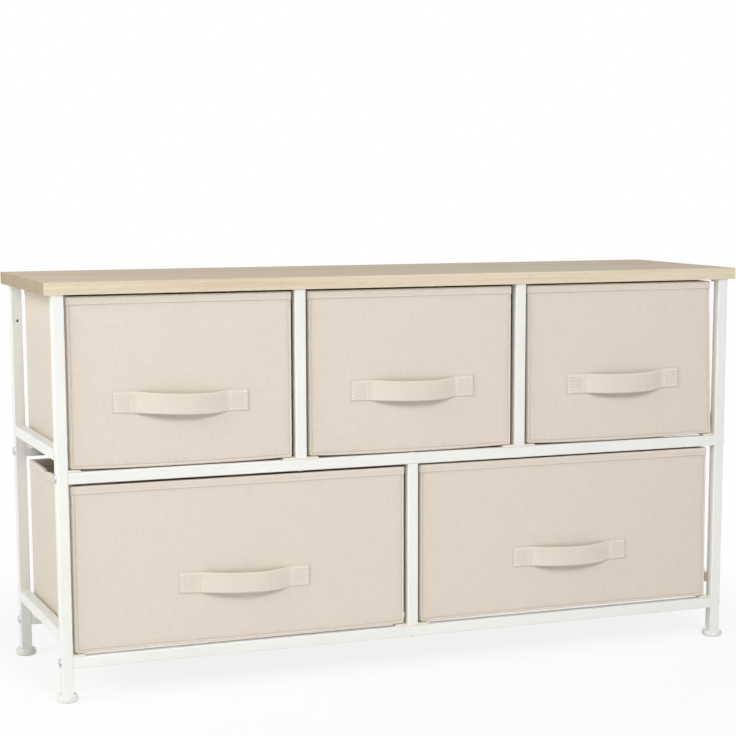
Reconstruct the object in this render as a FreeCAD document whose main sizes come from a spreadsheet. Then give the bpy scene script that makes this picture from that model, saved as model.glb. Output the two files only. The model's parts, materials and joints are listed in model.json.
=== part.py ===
import FreeCAD, Part
import math
import os
import Sketcher
from FreeCAD import Placement, Rotation, Vector

# A fabric drawer dresser: a welded and bolted frame of square steel tube, a
# laminated top board, and five sewn fabric bins that slide in from the front.
# Three narrow bins stand over two wide ones.
#
# Millimetres. +Z is up, the drawers open towards -Y and +X is to the right as
# seen from the front. The origin lies on the floor, midway between the four
# feet. All places are worked out from the sheet "Sizes".

doc = FreeCAD.newDocument("FabricDrawerDresser")

# ---------------------------------------------------------------- sizes

SIZES = {
    # whole
    "overall_height": 542.0,
    "board_length": 1000.0,
    "board_thickness": 16.0,
    "edging_thickness": 0.8,
    # frame
    "tube_side": 15.0,
    "tube_wall": 1.2,
    "tube_corner_radius": 1.5,
    "frame_depth": 283.0,
    "post_inset": 10.5,
    "board_front_overhang": 2.0,
    "low_rail_bottom": 44.0,
    "mid_rail_bottom": 285.0,
    "low_side_rail_bottom": 79.5,
    "mid_side_rail_bottom": 314.5,
    # plates that carry the drawers
    "rest_thickness": 2.5,
    "rest_width": 16.5,
    "rest_reach": 30.0,
    # threaded plugs and bolts of the frame
    "bolt_diameter": 6.0,
    "bolt_hole_clearance": 0.4,
    "thread_clearance": 0.1,
    "nut_length": 18.0,
    "bolt_engagement": 14.0,
    "frame_bolt_head_diameter": 12.0,
    "frame_bolt_head_height": 3.5,
    "divider_bolt_head_diameter": 10.0,
    "divider_bolt_head_height": 2.2,
    "hex_key_size": 4.0,
    "hex_key_depth": 1.6,
    # tabs and screws that hold the board down
    "tab_length": 22.0,
    "tab_thickness": 2.0,
    "screw_diameter": 4.0,
    "screw_hole_clearance": 0.5,
    "screw_length": 14.0,
    "screw_head_diameter": 8.0,
    "screw_head_height": 2.4,
    # hole for a tip restraint, front to back through each rear post
    "restraint_hole_diameter": 4.5,
    "restraint_hole_drop": 51.0,
    # levelling feet
    "foot_diameter": 29.0,
    "foot_height": 10.0,
    "foot_edge_radius": 3.5,
    "stud_diameter": 6.0,
    "stud_length": 30.0,
    "insert_length": 22.0,
    # drawers
    "drawer_setback": 5.5,
    "drawer_back_gap": 17.0,
    "drawer_board_gap": 2.6,
    "drawer_top_clearance": 2.0,
    "drawer_side_gap": 3.0,
    "drawer_rest_gap": 0.3,
    "cover_corner_radius": 3.0,
    "skin_thickness": 1.0,
    "lining_thickness": 0.8,
    "side_board_thickness": 2.5,
    "base_board_thickness": 3.0,
    "hem_height": 10.0,
    "hem_thickness": 0.6,
    "board_hem_gap": 1.0,
    # strap handles
    "handle_length": 180.0,
    "handle_width": 27.0,
    "handle_thickness": 2.2,
    "handle_patch": 27.0,
    "handle_bow": 12.8,
    "handle_drop": 138.0,
}

# How many bins stand side by side in each row.
UPPER_BINS = 3
LOWER_BINS = 2

sizes = doc.addObject("Spreadsheet::Sheet", "Sizes")
for row, (alias, value) in enumerate(SIZES.items(), start=1):
    sizes.set("A%d" % row, alias.replace("_", " "))
    sizes.set("B%d" % row, str(value))
    sizes.setAlias("B%d" % row, alias)

# ---------------------------------------------------------------- places

# What follows from the driving sizes, as formulas on a second sheet. The
# drawers open towards -Y, so a front plane has the lower Y.
PLACES = {
    "frame_front": "-Sizes.frame_depth / 2",
    "frame_back": "Sizes.frame_depth / 2",
    "board_front": "frame_front - Sizes.board_front_overhang",
    "board_back": "frame_back",
    "board_depth": "board_back - board_front",
    "front_tube_y": "frame_front + Sizes.tube_side / 2",
    "rear_tube_y": "frame_back - Sizes.tube_side / 2",
    "board_y": "(board_front + board_back) / 2",
    "board_bottom": "Sizes.overall_height - Sizes.board_thickness",
    "post_outer_x": "Sizes.board_length / 2 - Sizes.post_inset",
    "post_x": "post_outer_x - Sizes.tube_side / 2",
    "post_inner_x": "post_outer_x - Sizes.tube_side",
    "post_height": "board_bottom - Sizes.foot_height",
    "rail_length": "2 * post_inner_x",
    "side_rail_length": "Sizes.frame_depth - 2 * Sizes.tube_side",
    "low_rail_z": "Sizes.low_rail_bottom + Sizes.tube_side / 2",
    "mid_rail_z": "Sizes.mid_rail_bottom + Sizes.tube_side / 2",
    "low_rail_top": "Sizes.low_rail_bottom + Sizes.tube_side",
    "mid_rail_top": "Sizes.mid_rail_bottom + Sizes.tube_side",
    "tube_inside": "Sizes.tube_side - 2 * Sizes.tube_wall",
    "upper_bay": "(rail_length - (%d - 1) * Sizes.tube_side) / %d" % (UPPER_BINS, UPPER_BINS),
    "lower_bay": "(rail_length - (%d - 1) * Sizes.tube_side) / %d" % (LOWER_BINS, LOWER_BINS),
    "upper_pitch": "upper_bay + Sizes.tube_side",
    "lower_pitch": "lower_bay + Sizes.tube_side",
    "rest_length": "Sizes.tube_side + Sizes.rest_reach",
    "divider_rest_width": "Sizes.tube_side + 2 * Sizes.rest_width",
    "bolt_hole": "Sizes.bolt_diameter + Sizes.bolt_hole_clearance",
    "bolt_thread": "Sizes.bolt_diameter + Sizes.thread_clearance",
    "stud_thread": "Sizes.stud_diameter + Sizes.thread_clearance",
    "screw_pilot": "Sizes.screw_diameter + Sizes.thread_clearance",
    "front_tab_y": "frame_front + Sizes.tube_side + Sizes.tab_length / 2",
    "rear_tab_y": "frame_back - Sizes.tube_side - Sizes.tab_length / 2",
    "drawer_depth": "Sizes.frame_depth - Sizes.drawer_setback - Sizes.drawer_back_gap",
    "drawer_top_gap": "Sizes.divider_bolt_head_height + Sizes.drawer_top_clearance",
    "upper_drawer_bottom": "mid_rail_top + Sizes.rest_thickness + Sizes.drawer_rest_gap",
    "upper_drawer_rim": "board_bottom - Sizes.drawer_board_gap",
    "lower_drawer_bottom": "low_rail_top + Sizes.rest_thickness + Sizes.drawer_rest_gap",
    "lower_drawer_rim": "Sizes.mid_rail_bottom - drawer_top_gap",
    "cover_front": "frame_front + Sizes.drawer_setback + Sizes.hem_thickness",
    "cover_depth": "drawer_depth - 2 * Sizes.hem_thickness",
    "cover_radius": "Sizes.cover_corner_radius - Sizes.hem_thickness",
    "board_drop": "Sizes.hem_height + Sizes.board_hem_gap",
    "board_inset": "Sizes.skin_thickness + Sizes.side_board_thickness",
    "wall_total": "board_inset + Sizes.lining_thickness",
    "floor_total": "Sizes.skin_thickness + Sizes.base_board_thickness",
}

places = doc.addObject("Spreadsheet::Sheet", "Places")
for row, (alias, formula) in enumerate(PLACES.items(), start=1):
    places.set("A%d" % row, alias.replace("_", " "))
    places.set("B%d" % row, "=" + formula)
    places.setAlias("B%d" % row, alias)
doc.recompute()

# ---------------------------------------------------------------- helpers

UPRIGHT = Rotation()
UPSIDE_DOWN = Rotation(Vector(1, 0, 0), 180)
TO_RIGHT = Rotation(Vector(0, 1, 0), 90)     # local Z points to +X, local X down
TO_LEFT = Rotation(Vector(0, 1, 0), -90)     # local Z points to -X, local X up
TO_BACK = Rotation(Vector(1, 0, 0), -90)     # local Z points to +Y

nodes = []


def node(item, label):
    """Name a finished sub-part and put it on the list to be written."""
    item.Label = label
    nodes.append(item)
    return item


def place(item, x, y, z, turn=UPRIGHT):
    """Turn an object and tie its place to three expressions."""
    item.Placement = Placement(Vector(), turn)
    item.setExpression("Placement.Base.x", x)
    item.setExpression("Placement.Base.y", y)
    item.setExpression("Placement.Base.z", z)
    return item


def block(name, length, width, height, x, y, z):
    """A box from its three sizes and its lowest corner."""
    item = doc.addObject("Part::Box", name)
    item.setExpression("Length", length)
    item.setExpression("Width", width)
    item.setExpression("Height", height)
    return place(item, x, y, z)


def rod(name, diameter, height, x="0", y="0", z="0"):
    """A cylinder that stands on the given point."""
    item = doc.addObject("Part::Cylinder", name)
    item.setExpression("Radius", "(%s) / 2" % diameter)
    item.setExpression("Height", height)
    return place(item, x, y, z)


def cut(name, base, tool):
    item = doc.addObject("Part::Cut", name)
    item.Base = base
    item.Tool = tool
    return item


def fuse(name, pieces):
    item = doc.addObject("Part::MultiFuse", name)
    item.Shapes = pieces
    return item


def group(label, pieces):
    """Separate solids of one kind, kept together as one sub-part."""
    item = doc.addObject("Part::Compound", label)
    item.Links = pieces
    return node(item, label)


def sketch_on(body, role, name):
    """A sketch on one of the body's own origin planes."""
    sketch = body.newObject("Sketcher::SketchObject", name)
    plane = next(f for f in body.Origin.OriginFeatures if f.Role == role)
    sketch.AttachmentSupport = [(plane, "")]
    sketch.MapMode = "FlatFace"
    return sketch


def measure(sketch, kind, *rest):
    """Add a dimension whose last argument is the expression it follows."""
    index = sketch.addConstraint(Sketcher.Constraint(kind, *rest[:-1]))
    sketch.setExpression("Constraints[%d]" % index, rest[-1])


def draw_polygon(sketch, points):
    """Closed lines through rough points; each line is made level or upright.

    The points only give the shape. Its sizes come from the dimensions that the
    caller adds.
    """
    count = len(points)
    for i, start in enumerate(points):
        end = points[(i + 1) % count]
        sketch.addGeometry(Part.LineSegment(Vector(*start), Vector(*end)))
        level = abs(start[1] - end[1]) < abs(start[0] - end[0])
        sketch.addConstraint(Sketcher.Constraint("Horizontal" if level else "Vertical", i))
    for i in range(count):
        sketch.addConstraint(Sketcher.Constraint("Coincident", i, 2, (i + 1) % count, 1))


def draw_rectangle(sketch, width, height):
    """A rectangle centred on the sketch's origin."""
    draw_polygon(sketch, [(-1, -1), (1, -1), (1, 1), (-1, 1)])
    sketch.addConstraint(Sketcher.Constraint("Symmetric", 0, 1, 2, 1, -1, 1))
    measure(sketch, "DistanceX", 0, 1, 0, 2, 2.0, width)
    measure(sketch, "DistanceY", 1, 1, 1, 2, 2.0, height)


def draw_circles(sketch, circles):
    """Circles, each given as expressions for its centre and its diameter."""
    for i, (across, up, diameter) in enumerate(circles):
        sketch.addGeometry(Part.Circle(Vector(0, 0, 0), Vector(0, 0, 1), 1.0))
        measure(sketch, "DistanceX", -1, 1, i, 3, 0.0, across)
        measure(sketch, "DistanceY", -1, 1, i, 3, 0.0, up)
        measure(sketch, "Diameter", i, 2.0, diameter)


def pad(body, sketch, length):
    feature = body.newObject("PartDesign::Pad", body.Name + "_pad")
    feature.Profile = sketch
    feature.setExpression("Length", length)
    doc.recompute()
    return feature


def pocket(body, sketch, name, sides="One side", depth=None):
    """Cut a sketch out of the body: up to a depth, or all the way through."""
    before = body.Shape.Volume
    feature = body.newObject("PartDesign::Pocket", name)
    feature.Profile = sketch
    feature.SideType = sides
    feature.Reversed = sides == "One side"
    if depth:
        feature.setExpression("Length", depth)
    else:
        feature.Type = "ThroughAll"
    doc.recompute()
    if not body.Shape.Volume < before:
        raise RuntimeError("%s cut nothing" % name)


def round_edges(body, feature, radius, chosen):
    """Round the edges of a feature that the given test picks."""
    names = ["Edge%d" % i for i, edge in enumerate(feature.Shape.Edges, start=1) if chosen(edge)]
    fillet = body.newObject("PartDesign::Fillet", body.Name + "_rounding")
    fillet.Base = (feature, names)
    fillet.setExpression("Radius", radius)
    doc.recompute()


def is_upright(edge):
    span = edge.BoundBox
    return span.ZLength > max(span.XLength, span.YLength)


def rounded_prism(name, length, width, height, radius):
    """An upright prism with four rounded corners, centred on the local Z axis."""
    body = doc.addObject("PartDesign::Body", name)
    outline = sketch_on(body, "XY_Plane", name + "_outline")
    draw_rectangle(outline, length, width)
    base = pad(body, outline, height)
    round_edges(body, base, radius, is_upright)
    return body


def tube(label, length, x, y, z, turn=UPRIGHT, holes=(), cross_holes=()):
    """A square steel tube along the local Z axis from the given point.

    Each hole is (distance along the tube, diameter) and runs through both walls:
    along the local X axis, or along the local Y axis for a cross hole.
    """
    body = rounded_prism(label, "Sizes.tube_side", "Sizes.tube_side", length,
                         "Sizes.tube_corner_radius")
    inside = sketch_on(body, "XY_Plane", label + "_inside")
    draw_rectangle(inside, "Places.tube_inside", "Places.tube_inside")
    pocket(body, inside, label + "_hollow")
    for plane, suffix, drilling in (("YZ_Plane", "_holes", holes), ("XZ_Plane", "_cross", cross_holes)):
        if drilling:
            drilled = sketch_on(body, plane, label + suffix + "_sketch")
            draw_circles(drilled, [("0", distance, diameter) for distance, diameter in drilling])
            pocket(body, drilled, label + suffix, sides="Symmetric")
    place(body, x, y, z, turn)
    return node(body, label)


def threaded_plug(name, length, bore):
    """A plug that fills the inside of a tube, with a bore along the local Z axis."""
    half = "-Places.tube_inside / 2"
    solid = block(name + "_block", "Places.tube_inside", "Places.tube_inside", length, half, half, "0")
    return cut(name, solid, rod(name + "_bore", bore, length))


def hex_bolt(name, length, head_diameter, head_height):
    """A socket bolt: the seat of its head is at local Z = 0, its shank points up."""
    shank = rod(name + "_shank", "Sizes.bolt_diameter", length)
    head = rod(name + "_head", head_diameter, head_height, z="-(%s)" % head_height)
    socket = doc.addObject("Part::Prism", name + "_socket")
    socket.Polygon = 6
    socket.setExpression("Circumradius", "Sizes.hex_key_size / 2 / cos(30 deg)")
    socket.setExpression("Height", "Sizes.hex_key_depth")
    place(socket, "0", "0", "-(%s)" % head_height)
    return cut(name, fuse(name + "_blank", [shank, head]), socket)


# The four tubes at the corners and the mirror pairs are made by these loops:
# side is -1 on the left and +1 on the right.
SIDES = (("left", -1), ("right", 1))
ENDS = (("front", "Places.front_tube_y"), ("rear", "Places.rear_tube_y"))
ROWS = (("low", "Places.low_rail_z", "Places.low_rail_top"),
        ("mid", "Places.mid_rail_z", "Places.mid_rail_top"))


# ---------------------------------------------------------------- top board

def make_top_board():
    """The panel, with pilot holes from below, and the four strips on its edges."""
    label = "top_board"
    body = doc.addObject("PartDesign::Body", label)
    outline = sketch_on(body, "XY_Plane", label + "_outline")
    draw_rectangle(outline, "Sizes.board_length - 2 * Sizes.edging_thickness",
                   "Places.board_depth - 2 * Sizes.edging_thickness")
    pad(body, outline, "Sizes.board_thickness")
    pilots = sketch_on(body, "XY_Plane", label + "_pilots")
    draw_circles(pilots, [(x, "%s - Places.board_y" % y, "Places.screw_pilot") for x, y in tab_places()])
    pocket(body, pilots, label + "_pilot_holes", depth="Sizes.screw_length - Sizes.tab_thickness")
    place(body, "0", "Places.board_y", "Places.board_bottom")
    node(body, label)

    strips = []
    for name, y in (("front", "Places.board_front"), ("back", "Places.board_back - Sizes.edging_thickness")):
        strips.append(block("edging_" + name, "Sizes.board_length", "Sizes.edging_thickness",
                            "Sizes.board_thickness", "-Sizes.board_length / 2", y,
                            "Places.board_bottom"))
    for name, side in SIDES:
        x = "%d * (Sizes.board_length - Sizes.edging_thickness) / 2 - Sizes.edging_thickness / 2" % side
        strips.append(block("edging_" + name, "Sizes.edging_thickness",
                            "Places.board_depth - 2 * Sizes.edging_thickness",
                            "Sizes.board_thickness", x,
                            "Places.board_front + Sizes.edging_thickness",
                            "Places.board_bottom"))
    group("top_board_edging", strips)


def tab_places():
    """Where a screw goes up into the board: behind each tube that meets it."""
    tubes = ["-Places.post_x", "-Places.upper_pitch / 2", "Places.upper_pitch / 2", "Places.post_x"]
    return [(x, y) for x in tubes for y in ("Places.front_tab_y", "Places.rear_tab_y")]


def make_board_fixings():
    """Drilled tabs welded behind the tube tops, and their screws."""
    tabs = []
    screws = []
    for i, (x, y) in enumerate(tab_places(), start=1):
        name = "tab_%d" % i
        plate = block(name + "_plate", "Sizes.tube_side", "Sizes.tab_length", "Sizes.tab_thickness",
                      "%s - Sizes.tube_side / 2" % x, "%s - Sizes.tab_length / 2" % y,
                      "Places.board_bottom - Sizes.tab_thickness")
        hole = rod(name + "_hole", "Sizes.screw_diameter + Sizes.screw_hole_clearance",
                   "Sizes.tab_thickness", x, y, "Places.board_bottom - Sizes.tab_thickness")
        tabs.append(cut(name, plate, hole))

        name = "screw_%d" % i
        shank = rod(name + "_shank", "Sizes.screw_diameter", "Sizes.screw_length")
        head = rod(name + "_head", "Sizes.screw_head_diameter", "Sizes.screw_head_height",
                   z="-Sizes.screw_head_height")
        screw = fuse(name, [shank, head])
        screws.append(place(screw, x, y, "Places.board_bottom - Sizes.tab_thickness"))
    group("board_tabs", tabs)
    group("board_screws", screws)


# ---------------------------------------------------------------- frame

def make_posts():
    holes = [("%s - Sizes.foot_height" % z, "Places.bolt_hole") for _, z, _ in ROWS]
    restraint = [("Places.post_height - Sizes.restraint_hole_drop", "Sizes.restraint_hole_diameter")]
    for end, y in ENDS:
        for name, side in SIDES:
            tube("post_%s_%s" % (end, name), "Places.post_height", "%d * Places.post_x" % side, y,
                 "Sizes.foot_height", holes=holes, cross_holes=restraint if end == "rear" else ())


def make_side_rails():
    for row, bottom in (("mid", "Sizes.mid_side_rail_bottom"), ("low", "Sizes.low_side_rail_bottom")):
        for name, side in SIDES:
            tube("side_rail_%s_%s" % (row, name), "Places.side_rail_length",
                 "%d * Places.post_x" % side, "Places.frame_front + Sizes.tube_side",
                 "%s + Sizes.tube_side / 2" % bottom, TO_BACK)


def make_long_rails():
    """Rails between the posts, drilled where a divider stands on or under them."""
    upper = ["-Places.upper_pitch / 2", "Places.upper_pitch / 2"]
    drilled = {"low": ["0"], "mid": ["0"] + upper}
    for row, z, _ in ROWS:
        holes = [("Places.post_inner_x + (%s)" % x, "Places.bolt_hole") for x in drilled[row]]
        for end, y in ENDS:
            tube("rail_%s_%s" % (row, end), "Places.rail_length", "-Places.post_inner_x", y, z,
                 TO_RIGHT, holes=holes)


def dividers():
    """Name, place, foot and head height of each upright between two bays."""
    for end, y in ENDS:
        for name, side in SIDES:
            yield ("divider_upper_%s_%s" % (name, end), "%d * Places.upper_pitch / 2" % side, y,
                   "Places.mid_rail_top + Sizes.rest_thickness", "Places.board_bottom")
        yield ("divider_lower_" + end, "0", y,
               "Places.low_rail_top + Sizes.rest_thickness", "Sizes.mid_rail_bottom")


def make_dividers():
    for label, x, y, foot, head in dividers():
        tube(label, "%s - (%s)" % (head, foot), x, y, foot)


def make_rests():
    """Plates on top of the rails: one beside each post, one under each divider."""
    front = "Places.frame_front"
    rear = "Places.frame_back - Places.rest_length"
    corner = []
    for row, _, top in ROWS:
        for end, y in (("front", front), ("rear", rear)):
            for name, side in SIDES:
                x = "-Places.post_inner_x" if side < 0 else "Places.post_inner_x - Sizes.rest_width"
                corner.append(block("corner_rest_%s_%s_%s" % (row, end, name), "Sizes.rest_width",
                                    "Places.rest_length", "Sizes.rest_thickness", x, y, top))
    group("corner_rests", corner)

    under = []
    for label, x, y, foot, _ in dividers():
        name = "rest_" + label
        start = front if y == "Places.front_tube_y" else rear
        bottom = "%s - Sizes.rest_thickness" % foot
        plate = block(name + "_plate", "Places.divider_rest_width", "Places.rest_length",
                      "Sizes.rest_thickness", "%s - Places.divider_rest_width / 2" % x, start, bottom)
        hole = rod(name + "_hole", "Places.bolt_hole", "Sizes.rest_thickness", x, y, bottom)
        under.append(cut(name, plate, hole))
    group("divider_rests", under)


def make_frame_bolts():
    """Bolts along X through both walls of a post into a plug in the rail's end."""
    plugs = []
    bolts = []
    for row, z, _ in ROWS:
        for end, y in ENDS:
            for name, side in SIDES:
                inward = TO_LEFT if side > 0 else TO_RIGHT
                tag = "%s_%s_%s" % (row, end, name)
                plug = threaded_plug("rail_plug_" + tag, "Sizes.nut_length", "Places.bolt_thread")
                plugs.append(place(plug, "%d * Places.post_inner_x" % side, y, z, inward))
                bolt = hex_bolt("frame_bolt_" + tag, "Sizes.tube_side + Sizes.bolt_engagement",
                                "Sizes.frame_bolt_head_diameter", "Sizes.frame_bolt_head_height")
                bolts.append(place(bolt, "%d * Places.post_outer_x" % side, y, z, inward))
    group("rail_end_nuts", plugs)
    group("frame_bolts", bolts)


def make_divider_bolts():
    """Bolts along Z: up into the foot of every divider, down into the lower heads."""
    plugs = []
    bolts = []
    head_sizes = ("Sizes.divider_bolt_head_diameter", "Sizes.divider_bolt_head_height")
    for label, x, y, foot, head in dividers():
        plug = threaded_plug("foot_plug_" + label, "Sizes.nut_length", "Places.bolt_thread")
        plugs.append(place(plug, x, y, foot))
        bolt = hex_bolt("foot_bolt_" + label,
                        "Sizes.tube_side + Sizes.rest_thickness + Sizes.bolt_engagement", *head_sizes)
        bolts.append(place(bolt, x, y, "%s - Sizes.rest_thickness - Sizes.tube_side" % foot))
        if "lower" in label:
            plug = threaded_plug("head_plug_" + label, "Sizes.nut_length", "Places.bolt_thread")
            plugs.append(place(plug, x, y, head, UPSIDE_DOWN))
            bolt = hex_bolt("head_bolt_" + label, "Sizes.tube_side + Sizes.bolt_engagement", *head_sizes)
            bolts.append(place(bolt, x, y, "%s + Sizes.tube_side" % head, UPSIDE_DOWN))
    group("divider_nuts", plugs)
    group("divider_bolts", bolts)


# ---------------------------------------------------------------- feet

def make_foot(label, x, y):
    """A round foot turned in one piece with its threaded stud."""
    body = doc.addObject("PartDesign::Body", label)
    profile = sketch_on(body, "XZ_Plane", label + "_profile")
    half_disc_and_stud = [(0, 0), (15, 0), (15, 10), (3, 10), (3, 40), (0, 40)]
    draw_polygon(profile, half_disc_and_stud)
    profile.addConstraint(Sketcher.Constraint("Coincident", 0, 1, -1, 1))
    measure(profile, "DistanceX", 0, 1, 0, 2, 15.0, "Sizes.foot_diameter / 2")
    measure(profile, "DistanceY", 1, 1, 1, 2, 10.0, "Sizes.foot_height")
    measure(profile, "DistanceY", 3, 1, 3, 2, 30.0, "Sizes.stud_length")
    measure(profile, "DistanceX", 4, 2, 4, 1, 3.0, "Sizes.stud_diameter / 2")
    turned = body.newObject("PartDesign::Revolution", label + "_turned")
    turned.Profile = profile
    turned.ReferenceAxis = (profile, ["V_Axis"])
    doc.recompute()
    rim = sizes.foot_diameter / 2
    round_edges(body, turned, "Sizes.foot_edge_radius",
                lambda edge: isinstance(edge.Curve, Part.Circle) and math.isclose(edge.Curve.Radius, rim))
    place(body, x, y, "0")
    return node(body, label)


def make_feet():
    inserts = []
    for end, y in ENDS:
        for name, side in SIDES:
            x = "%d * Places.post_x" % side
            make_foot("foot_%s_%s" % (end, name), x, y)
            plug = threaded_plug("insert_%s_%s" % (end, name), "Sizes.insert_length", "Places.stud_thread")
            inserts.append(place(plug, x, y, "Sizes.foot_height"))
    group("foot_inserts", inserts)


# ---------------------------------------------------------------- drawers

def inner_block(name, x, width, inset, bottom, top):
    """A box inside a cover, the same inset from all four of its walls."""
    return block(name, "%s - 2 * (%s)" % (width, inset), "Places.cover_depth - 2 * (%s)" % inset,
                 "%s - (%s)" % (top, bottom), "%s - (%s) / 2 + %s" % (x, width, inset),
                 "Places.cover_front + %s" % inset, bottom)


def make_cover(label, x, width, bottom, rim):
    """The sewn bin: outer skin and floor, and a lining down to the base board.

    Between skin and lining a channel is left for the side boards, and over the
    floor a flat space for the base board. Above the boards the layers are sewn
    together, and the binding covers that rim.
    """
    top = "%s - Sizes.hem_thickness" % rim
    floor = "%s + Places.floor_total" % bottom
    outside = rounded_prism(label + "_outside", width, "Places.cover_depth",
                            "%s - %s" % (top, bottom), "Places.cover_radius")
    place(outside, x, "Places.cover_front + Places.cover_depth / 2", bottom)
    mouth = inner_block(label + "_mouth", x, width, "Places.wall_total", floor, top)
    under_skin = inner_block(label + "_under_skin", x, width, "Sizes.skin_thickness",
                             "%s + Sizes.skin_thickness" % bottom, "%s - Places.board_drop" % rim)
    lining = inner_block(label + "_lining", x, width, "Places.board_inset",
                         floor, "%s - Places.board_drop" % rim)
    channel = cut(label + "_channel", under_skin, lining)
    return node(cut(label, cut(label + "_shell", outside, mouth), channel), label)


def make_hem(label, x, width, rim):
    """Binding folded over the rim: a leg outside, a leg inside, closed on top."""
    fold = "%s - Sizes.hem_thickness" % rim
    lower_edge = "%s - Sizes.hem_height" % rim
    outside = rounded_prism(label + "_outside", "%s + 2 * Sizes.hem_thickness" % width,
                            "Places.drawer_depth", "Sizes.hem_height", "Sizes.cover_corner_radius")
    middle_y = "Places.cover_front + Places.cover_depth / 2"
    place(outside, x, middle_y, lower_edge)
    mouth = inner_block(label + "_mouth", x, width, "Places.wall_total + Sizes.hem_thickness",
                        lower_edge, rim)
    wall = rounded_prism(label + "_wall", width, "Places.cover_depth",
                         "Sizes.hem_height - Sizes.hem_thickness", "Places.cover_radius")
    place(wall, x, middle_y, lower_edge)
    inside = inner_block(label + "_inside", x, width, "Places.wall_total", lower_edge, fold)
    groove = cut(label + "_groove", wall, inside)
    return node(cut(label, cut(label + "_band", outside, mouth), groove), label)


def make_side_boards(label, x, width, bottom, rim):
    """Four stiffening boards in the channel, ending below the stitches of the hem."""
    thick = "Sizes.side_board_thickness"
    low = "%s + Sizes.skin_thickness" % bottom
    height = "%s - Places.board_drop - (%s)" % (rim, low)
    left = "%s - (%s) / 2 + Sizes.skin_thickness" % (x, width)
    right = "%s + (%s) / 2 - Places.board_inset" % (x, width)
    front = "Places.cover_front + Sizes.skin_thickness"
    back = "Places.cover_front + Places.cover_depth - Places.board_inset"
    across = "%s - 2 * Sizes.skin_thickness" % width
    along = "Places.cover_depth - 2 * Places.board_inset"
    boards = [block("%s_%s" % (label, name), across, thick, height, left, y, low)
              for name, y in (("front", front), ("back", back))]
    boards += [block("%s_%s" % (label, name), thick, along, height,
                     x0, "Places.cover_front + Places.board_inset", low)
               for name, x0 in (("left", left), ("right", right))]
    return group(label, boards)


def draw_strap_path(sketch):
    """The middle line of the strap: flat, three arcs of one radius, flat.

    Over half the bowed span the line turns out and back by the same angle, so
    span and bow give the radius as (span^2 + bow^2) / (4 * bow).
    """
    bow = sizes.handle_bow - sizes.handle_thickness
    end = sizes.handle_length / 2
    span = end - sizes.handle_patch
    radius = (span ** 2 + bow ** 2) / (4 * bow)
    turn = 2 * math.atan(bow / span)
    level = -sizes.handle_thickness / 2
    up = Vector(0, 0, 1)
    quarter = math.pi / 2

    def arc(x, y, start, stop):
        return Part.ArcOfCircle(Part.Circle(Vector(x, y, 0), up, radius), start, stop)

    sketch.addGeometry(Part.LineSegment(Vector(-end, level, 0), Vector(-span, level, 0)))
    sketch.addGeometry(arc(-span, level - radius, quarter - turn, quarter))
    sketch.addGeometry(arc(0, level - bow + radius, -quarter - turn, -quarter + turn))
    sketch.addGeometry(arc(span, level - radius, quarter, quarter + turn))
    sketch.addGeometry(Part.LineSegment(Vector(span, level, 0), Vector(end, level, 0)))
    left_flat, left_arc, middle_arc, right_arc, right_flat = range(5)
    for joint in ((left_flat, 2, left_arc, 2), (left_arc, 1, middle_arc, 1),
                  (middle_arc, 2, right_arc, 2), (right_arc, 1, right_flat, 1)):
        sketch.addConstraint(Sketcher.Constraint("Tangent", *joint))
    sketch.addConstraint(Sketcher.Constraint("Horizontal", left_flat))
    sketch.addConstraint(Sketcher.Constraint("Horizontal", right_flat))
    sketch.addConstraint(Sketcher.Constraint("Equal", left_arc, middle_arc))
    sketch.addConstraint(Sketcher.Constraint("Equal", middle_arc, right_arc))
    sketch.addConstraint(Sketcher.Constraint("Symmetric", left_flat, 1, right_flat, 2, -2))
    measure(sketch, "DistanceX", left_flat, 1, left_flat, 2, end - span, "Sizes.handle_patch")
    measure(sketch, "DistanceX", right_flat, 1, right_flat, 2, end - span, "Sizes.handle_patch")
    measure(sketch, "DistanceX", left_flat, 1, right_flat, 2, 2 * end, "Sizes.handle_length")
    measure(sketch, "DistanceY", left_flat, 1, -1, 1, -level, "Sizes.handle_thickness / 2")
    half = "(Sizes.handle_length / 2 - Sizes.handle_patch)"
    out = "(Sizes.handle_bow - Sizes.handle_thickness)"
    measure(sketch, "Radius", middle_arc, radius, "(%s^2 + %s^2) / (4 * %s)" % (half, out, out))


def make_handle(label, x, rim):
    """A strap sewn flat at both ends, standing off the drawer between them."""
    body = doc.addObject("PartDesign::Body", label)
    path = sketch_on(body, "XY_Plane", label + "_path")
    draw_strap_path(path)
    section = sketch_on(body, "YZ_Plane", label + "_section")
    section.setExpression("AttachmentOffset.Base.z", "-Sizes.handle_length / 2")
    strap_section = [(-2, -10), (0, -10), (0, 10), (-2, 10)]
    draw_polygon(section, strap_section)
    section.addConstraint(Sketcher.Constraint("Symmetric", 1, 1, 1, 2, -1, 1))
    measure(section, "DistanceX", 0, 1, 0, 2, 2.0, "Sizes.handle_thickness")
    measure(section, "DistanceY", 1, 1, 1, 2, 20.0, "Sizes.handle_width")
    strap = body.newObject("PartDesign::AdditivePipe", label + "_strap")
    strap.Profile = section
    strap.Spine = (path, [])
    place(body, x, "Places.cover_front", "%s - Sizes.handle_drop" % rim)
    return node(body, label)


def make_drawer(label, x, bay, bottom, rim):
    """One bin with its pieces; it stands just clear of its rests."""
    width = "(%s - 2 * Sizes.drawer_side_gap - 2 * Sizes.hem_thickness)" % bay
    make_cover(label + "_cover", x, width, bottom, rim)
    make_hem(label + "_hem", x, width, rim)
    make_side_boards(label + "_side_boards", x, width, bottom, rim)
    base = inner_block(label + "_base_board", x, width, "Places.board_inset",
                       "%s + Sizes.skin_thickness" % bottom, "%s + Places.floor_total" % bottom)
    node(base, label + "_base_board")
    make_handle(label + "_handle", x, rim)


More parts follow.
